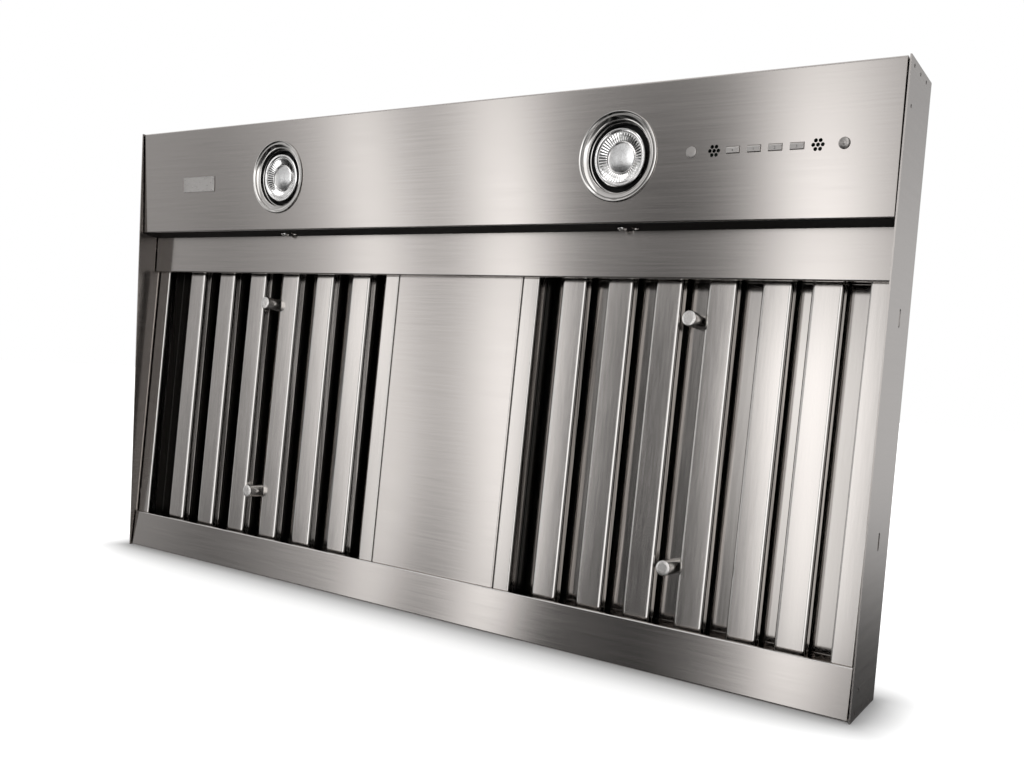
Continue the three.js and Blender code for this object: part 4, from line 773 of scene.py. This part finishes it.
# Both knobs stand in the fourth slot from the left, a little right of its middle.
KNOB_SLOT, KNOB_SHIFT = 3, 2.5
knob_x = {}
for side, filter_ in FILTERS.items():
    body = f"filter_{side}"
    # Painted shade: the right filter's flanges get a darker steel than the left filter's.
    flange = bright_flange if side == "left" else flange_painted_shade
    left, right = filter_["edges"]
    opening = left + RAIL_FACE
    starts = [opening + start for start in filter_["starts"]]
    for i, start in enumerate(starts, 1):
        place = on_filters @ Matrix.Translation((start * MM, 0, 0))
        baffle = copy_of(first_baffle, f"baffle_{side}_{i}", place)
        dress(baffle, baffle_steel, body, [f"front_baffle_{side}_{i}"],
              others=[burnished, flange], where=bend_or_flange)
    upright = [(REAR_LIP, FILTER_THICK), (0, FILTER_THICK), (0, 0), (RAIL_FACE, 0),
               (RAIL_FACE, RAIL_FLANGE)]
    on_left = [(left + x, depth) for x, depth in upright]
    on_right = [(right - x, depth) for x, depth in reversed(upright)]
    rails = [fold_sheet("upright", path, (0, filter_length), bends, wall=BAFFLE_WALL)
             for path, bends in ((on_left, (1, 1.2, 1.6)), (on_right, (1.6, 1.2, 1)))]
    lower = [(0, END_FACE), (0, 0), (FILTER_THICK, 0), (FILTER_THICK, END_FACE)]
    upper = [(depth, filter_length - up) for depth, up in reversed(lower)]
    rails += [settle(fold_sheet("end", path, (left + 1, right - 1), (1, 1), wall=BAFFLE_WALL),
                     ALONG_WIDTH)
              for path in (lower, upper)]
    frame_piece = settle(join(f"frame_{side}", rails), on_filters)
    dress(frame_piece, baffle_steel, body, [f"filter_frame_{side}"],
          others=[burnished, flange], where=bend_or_flange)
    slot_starts = [opening, *(start + BAFFLE_FACE for start in starts)]
    slots = list(zip(slot_starts, [*starts, right - RAIL_FACE]))
    rears = []
    for a, b in slots:
        low_x, high_x, lip = a - OVERLAP, b + OVERLAP, REAR_WALL - REAR_FLANGE
        path = [(high_x, lip), (high_x, REAR_WALL), (low_x, REAR_WALL), (low_x, lip)]
        rears.append(fold_sheet("rear", path, channel_ends, (2, 2), wall=BAFFLE_WALL, edge=0))
    for z in (TIE_INSET, filter_length - TIE_INSET - TIE_WIDTH):
        tie = block((opening - TIE_REACH, TIE_DEPTHS[0], z),
                    (right - RAIL_FACE + TIE_REACH, TIE_DEPTHS[1], z + TIE_WIDTH))
        rears.append(soften(tie, 0.1, segments=1))
    rear_piece = settle(join(f"rear_channels_{side}", rears), on_filters)
    # Painted shade: the rear channels' bends and sides, whose normals turn sideways, get
    # near-black.
    dress(rear_piece, rear_steel, body, [f"rear_baffles_{side}"],
          others=[rear_bend_painted_shade], where=lambda middle, normal: abs(normal.x) > 0.15)
    knob_x[side] = sum(slots[KNOB_SLOT]) / 2 + KNOB_SHIFT
bpy.data.objects.remove(first_baffle)
print("knobs at", knob_x)

# %% [markdown]
# ## Filter knobs
# Four turned studs are the filters' handles. Each has a nearly flat face and a rounded rim.
# They are turned from one profile and copied.

# %% Turn the knobs
KNOB_FROM_TOP, KNOB_FROM_FOOT = 43.7, 57
knob_profile = [(0, -4.3), (3, -4.32), (5.7, -4.36), (6.1, -4.26), (6.36, -4.02), (6.5, -3.6),
                (6.5, 23.2), (0, 23.2)]
knob = turn("knob", knob_profile, steps=48)
for side, x in knob_x.items():
    for level, up in (("upper", filter_length - KNOB_FROM_TOP), ("lower", KNOB_FROM_FOOT)):
        place = on_filters @ Matrix.Translation(Vector((x, 0, up)) * MM)
        piece = copy_of(knob, f"knob_{side}_{level}", place)
        dress(piece, turned_metal, f"filter_{side}", [f"filter_knob_{side}_{level}"])
bpy.data.objects.remove(knob)

# %% [markdown]
# ## Lamps
# Each lamp is a reflector lens behind a polished trim. The trim is dished, with a rounded lip
# outside and a fine double ring inside, and a gap is left round the lens, whose walls are
# painted near-black as shade. The lens has a flat rim, a ribbed cone, a ring and a shallow
# dome with a frosted mirror. Both are turned, and the ribs are made by pulling every other
# spoke of the cone forward.

# %% Turn the trims and lenses
RIBS, RIB_RADII, RIB_RISE, LENS_FRONT = 96, (14, 20), 0.7, 10
GAP_RADIUS, TRIM_GAP, TRIM_WELL, LENS_EDGE = 22, (2.9, 5.4), 6.6, 4.6
DOME_RADIUS, DOME_DEPTH = 12, 7
trim_profile = [
    (37.2, -0.3), (37.2, -0.8), (36.95, -1.2), (36.4, -1.4), (35.9, -1.25), (35.4, -0.8),
    (34.4, 0.1), (33.2, 1.0), (31.8, 1.8), (30.6, 2.2), (30.1, 2.2), (29.7, 1.9), (29.4, 2.1),
    (29.3, 2.8), (29.2, 5.4), (28.8, 5.5), (28.5, 5.8), (28.4, 6.6), (27.4, 8), (27.4, 11.8),
    (21.7, 11.8), (21.7, 13), (33.6, 13), (33.6, -0.3), (37.2, -0.3)]
lens_profile = [
    (0, 3.4), (2.5, 3.5), (5, 3.8), (7.5, 4.4), (10, 5.2), (11.6, 5.9), (12.1, 6.2), (12.5, 5.5),
    (12.9, 5.2), (13.3, 5.5), (13.6, 6.2), (14.6, 6.1), (16.6, 5.6), (18.6, 4.9), (20.4, 4.2),
    (20.9, 4.3), (21.3, 3.7), (21.9, 3.2), (22.9, 3.0), (23.6, 3.1), (24.1, 3.5), (24.3, 4.2),
    (24.3, 5.2), (9, 38), (9, 44), (0, 44)]


def lamp_finish(piece, depth, radius):
    """0 for the piece's own finish, 1 in the gap round the lens and 2 on the dome."""
    if piece is trim:
        in_gap = TRIM_GAP[0] < depth < TRIM_GAP[1] or depth > TRIM_WELL
    else:
        in_gap = depth > LENS_EDGE
    if radius > GAP_RADIUS and in_gap:
        return 1
    return 2 if radius < DOME_RADIUS and depth < DOME_DEPTH else 0


trim = turn("trim", trim_profile, steps=96)
lens = turn("lens", lens_profile, steps=RIBS)
for vertex in lens.data.vertices:
    radius = math.hypot(vertex.co.x, vertex.co.z) / MM
    if RIB_RADII[0] < radius < RIB_RADII[1] and vertex.co.y < LENS_FRONT * MM:
        spoke = round(math.atan2(vertex.co.z, vertex.co.x) / math.tau * RIBS)
        vertex.co.y -= (spoke % 2) * RIB_RISE * MM
pins = [rod(1.2, 43, 50, x=x, sides=16) for x in (-4, 4)]
lens = smooth(join("lens", [lens, *pins]), 25)
for side, x in LAMPS.items():
    place = on_panel(x, LAMP_FROM_FRONT)
    for piece, finish, slot, node in ((trim, chrome, "chrome_trim", f"lamp_trim_{side}"),
                                      (lens, lens_mirror, "lamp_glass", f"lamp_{side}")):
        twin = bpy.data.objects.new(f"{node}_turned", piece.data.copy())
        scene.collection.objects.link(twin)
        paint(twin, finish)
        # Painted shade: the walls of the gap round the lens get near-black.
        twin.data.materials.append(gap_painted_shade)
        twin.data.materials.append(dome_mirror)
        for face in twin.data.polygons:
            radius = math.hypot(face.center.x, face.center.z) / MM
            face.material_index = lamp_finish(piece, face.center.y / MM, radius)
        settle(twin, place)
        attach(twin, "insert")
        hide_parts(node)
for bench_piece in (trim, lens):
    bpy.data.objects.remove(bench_piece)
print("lamps turned, ribs:", RIBS // 2)

# %% [markdown]
# ## Buttons
# A button is a small steel cap on a collar behind the panel that keeps it from falling out,
# with a stem to its switch. Its sloped upper edge gets a brighter, smoother steel as a painted
# highlight. The light button carries a dot and the others plain numbers.

# %% Shape the buttons
CAP_FRONT, CAP_SLOPE, COLLAR_BACK, COLLAR_EDGE = -1.4, 1.1, 3, 1.3
STEM_RADIUS, STEM_FROM, STEM_TO = 1.8, 2, 5
MARK_SIZE, MARK_WALL, MARK_FRONT, MARK_DROP = 3.0, 0.04, -1.42, 0.6
DOT_RADIUS, DOT_DEPTHS, DOT_DROP = 0.55, (-1.44, -1.3), 0.5


def button_cap():
    half_width, half_height = BUTTON_WIDTH / 2, BUTTON_HEIGHT / 2
    cap = block((-half_width, CAP_FRONT, -half_height), (half_width, COLLAR_BACK, half_height))
    near_front = (CAP_FRONT + 0.1) * MM
    bpy.ops.object.mode_set(mode="EDIT")
    pick_edges(cap, lambda a, b: max(a.y, b.y) < near_front and min(a.z, b.z) > 0)
    bpy.ops.mesh.bevel(offset=CAP_SLOPE * MM, segments=1, affect="EDGES")
    bpy.ops.object.mode_set(mode="OBJECT")
    soften(cap, 0.25)
    reach, up = half_width + COLLAR_EDGE, half_height + COLLAR_EDGE
    collar = soften(block((-reach, SEAT, -up), (reach, COLLAR_BACK, up)), 0.2)
    return join("button", [cap, collar, soften(rod(STEM_RADIUS, STEM_FROM, STEM_TO), 0.2)])


cap = button_cap()
for name, x in button_x.items():
    place = controls @ Matrix.Translation((x * MM, 0, 0))
    # Painted highlight: the sloped upper edge gets the brighter, smoother steel.
    dress(copy_of(cap, f"{name}_cap", place), button_steel, name, [name],
          others=[screw_chrome_and_painted_highlight], where=lambda middle, normal: normal.z > 0.3 and normal.y < -0.2)
    if name == "light_button":
        mark = soften(rod(DOT_RADIUS, *DOT_DEPTHS, z=-DOT_DROP, sides=24), 0.03)
    else:
        bpy.ops.object.select_all(action="DESELECT")
        bpy.ops.object.text_add(rotation=(math.pi / 2, 0, 0))
        mark = bpy.context.object
        mark.data.body = name[-1]
        mark.data.size = MARK_SIZE * MM
        mark.data.extrude = MARK_WALL * MM
        mark.data.align_x, mark.data.align_y = "CENTER", "CENTER"
        mark.location = (0, MARK_FRONT * MM, -MARK_DROP * MM)
        bpy.ops.object.convert(target="MESH")
        mark = bpy.context.object
        apply_place(mark)
    mark.name = f"{name}_mark"
    dress(settle(mark, place), mark_ink, name)
bpy.data.objects.remove(cap)

# %% [markdown]
# ## Screws
# A low domed screw closes each end of the control group, the left-hand one nearly flat, and two
# brighter ones hold the step to the header. Each is turned, with a fine ring near its middle.

# %% Turn the screws
# Shares of the head's radius and of its height.
DOME = ((0, 1), (0.3, 0.97), (0.34, 0.9), (0.45, 0.92), (0.75, 0.68), (0.93, 0.35), (1, 0.08),
        (1, 0))
# A header screw sits a little left of its hole's middle.
HEADER_SCREW_SHIFT, HEADER_SCREW_DROP = -1.5, 2


def screw(name, head, height, shank, length):
    rings = [(head * share, -GAP - height * rise) for share, rise in DOME]
    return turn(name, [*rings, (shank, -GAP), (shank, length), (0, length)], steps=40)


for side, sign, height in (("left", -1, 0.4), ("right", 1, 1.6)):
    place = controls @ Matrix.Translation((sign * SCREW_X * MM, 0, 0))
    piece = settle(screw(f"control_screw_{side}_domed", 4.4, height, 1.5, 14), place)
    dress(piece, screw_steel, nodes=[f"control_screw_{side}"])
    spot = Vector((sign * HEADER_SCREW_X + HEADER_SCREW_SHIFT, HEADER_SCREW_DEPTH,
                   PANEL_LOW - HEADER_SCREW_DROP)) * MM
    piece = settle(screw(f"header_screw_{side}_domed", 4, 2.2, 2, 9),
                   RIM @ Matrix.Translation(spot) @ FACING_DOWN)
    dress(piece, screw_chrome_and_painted_highlight, nodes=[f"header_screw_{side}"])

# %% [markdown]
# ## Badge plate
# A small thin plate is set on the panel left of the first lamp. It is left blank: a raised
# border, and a field pressed with a fine diamond pattern.

# %% A pressed plate
def pressed_field(name, colour):
    material = metal(name, colour, 0.3, streak=0.05, grain=(200, 900))
    tree = material.node_tree
    place = new_node(tree, "ShaderNodeTexCoord").outputs["Object"]
    waves = []
    for angle in (35, -35):
        turned = new_node(tree, "ShaderNodeMapping")
        turned.inputs["Rotation"].default_value = (0, math.radians(angle), 0)
        tree.links.new(place, turned.inputs["Vector"])
        wave = new_node(tree, "ShaderNodeTexWave", bands_direction="X")
        wave.inputs["Scale"].default_value = 260
        tree.links.new(turned.outputs[0], wave.inputs["Vector"])
        waves.append(wave.outputs["Fac"])
    height = new_node(tree, "ShaderNodeBump")
    height.inputs["Strength"].default_value = 0.6
    height.inputs["Distance"].default_value = 0.0003
    tree.links.new(math_node(tree, "MULTIPLY", *waves), height.inputs["Height"])
    tree.links.new(height.outputs[0], tree.nodes["Principled BSDF"].inputs["Normal"])
    return material


BADGE_X, BADGE_FROM_FRONT, BADGE_HALF_WIDTH, BADGE_HALF_HEIGHT = -335, 60.8, 26.3, 8
BADGE_FRONT, BADGE_BACK, BORDER, FIELD_SINK = -0.75, -0.02, 0.9, 0.25
plate = block((-BADGE_HALF_WIDTH, BADGE_FRONT, -BADGE_HALF_HEIGHT),
              (BADGE_HALF_WIDTH, BADGE_BACK, BADGE_HALF_HEIGHT))
bpy.ops.object.mode_set(mode="EDIT")
bpy.ops.mesh.select_all(action="DESELECT")
bpy.context.tool_settings.mesh_select_mode = (False, False, True)
plate_mesh = bmesh.from_edit_mesh(plate.data)
for face in plate_mesh.faces:
    face.select_set(face.normal.y < -0.9)
bmesh.update_edit_mesh(plate.data)
bpy.ops.mesh.inset(thickness=BORDER * MM, depth=-FIELD_SINK * MM)
bpy.ops.object.mode_set(mode="OBJECT")
plate = settle(soften(plate, 0.12), on_panel(BADGE_X, BADGE_FROM_FRONT))
plate.name = "badge_plate"
dress(plate, pressed_field("badge_field", (0.5, 0.48, 0.465)))

# %% [markdown]
# ## Sides, deck and blower box
# The remaining sheets have the right shape in the frame, with sharp corners. Each is copied,
# its loose triangles are merged into clean faces, and its edges are rounded a little, because
# no real edge is perfectly sharp.

# %% Round the frame's own sheets
def refine(node, width, material, segments=2, body="insert"):
    piece = bpy.data.objects.new(f"{node}_finished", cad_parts[node].data.copy())
    scene.collection.objects.link(piece)
    take(piece)
    bpy.ops.object.mode_set(mode="EDIT")
    bpy.ops.mesh.select_all(action="SELECT")
    bpy.ops.mesh.remove_doubles(threshold=1e-6)
    bpy.ops.mesh.dissolve_limited(angle_limit=math.radians(0.5))
    bpy.ops.object.mode_set(mode="OBJECT")
    soften(piece, width, segments)
    return dress(piece, material, body, [node])


for node in ("side_panel_left", "side_panel_right"):
    refine(node, 0.55, brushed_inward, segments=3)
refine("top_deck", 0.5, brushed_across)
for node in ("blower_housing", "junction_box", "junction_cover", "duct_collar"):
    refine(node, 0.4, zinc)
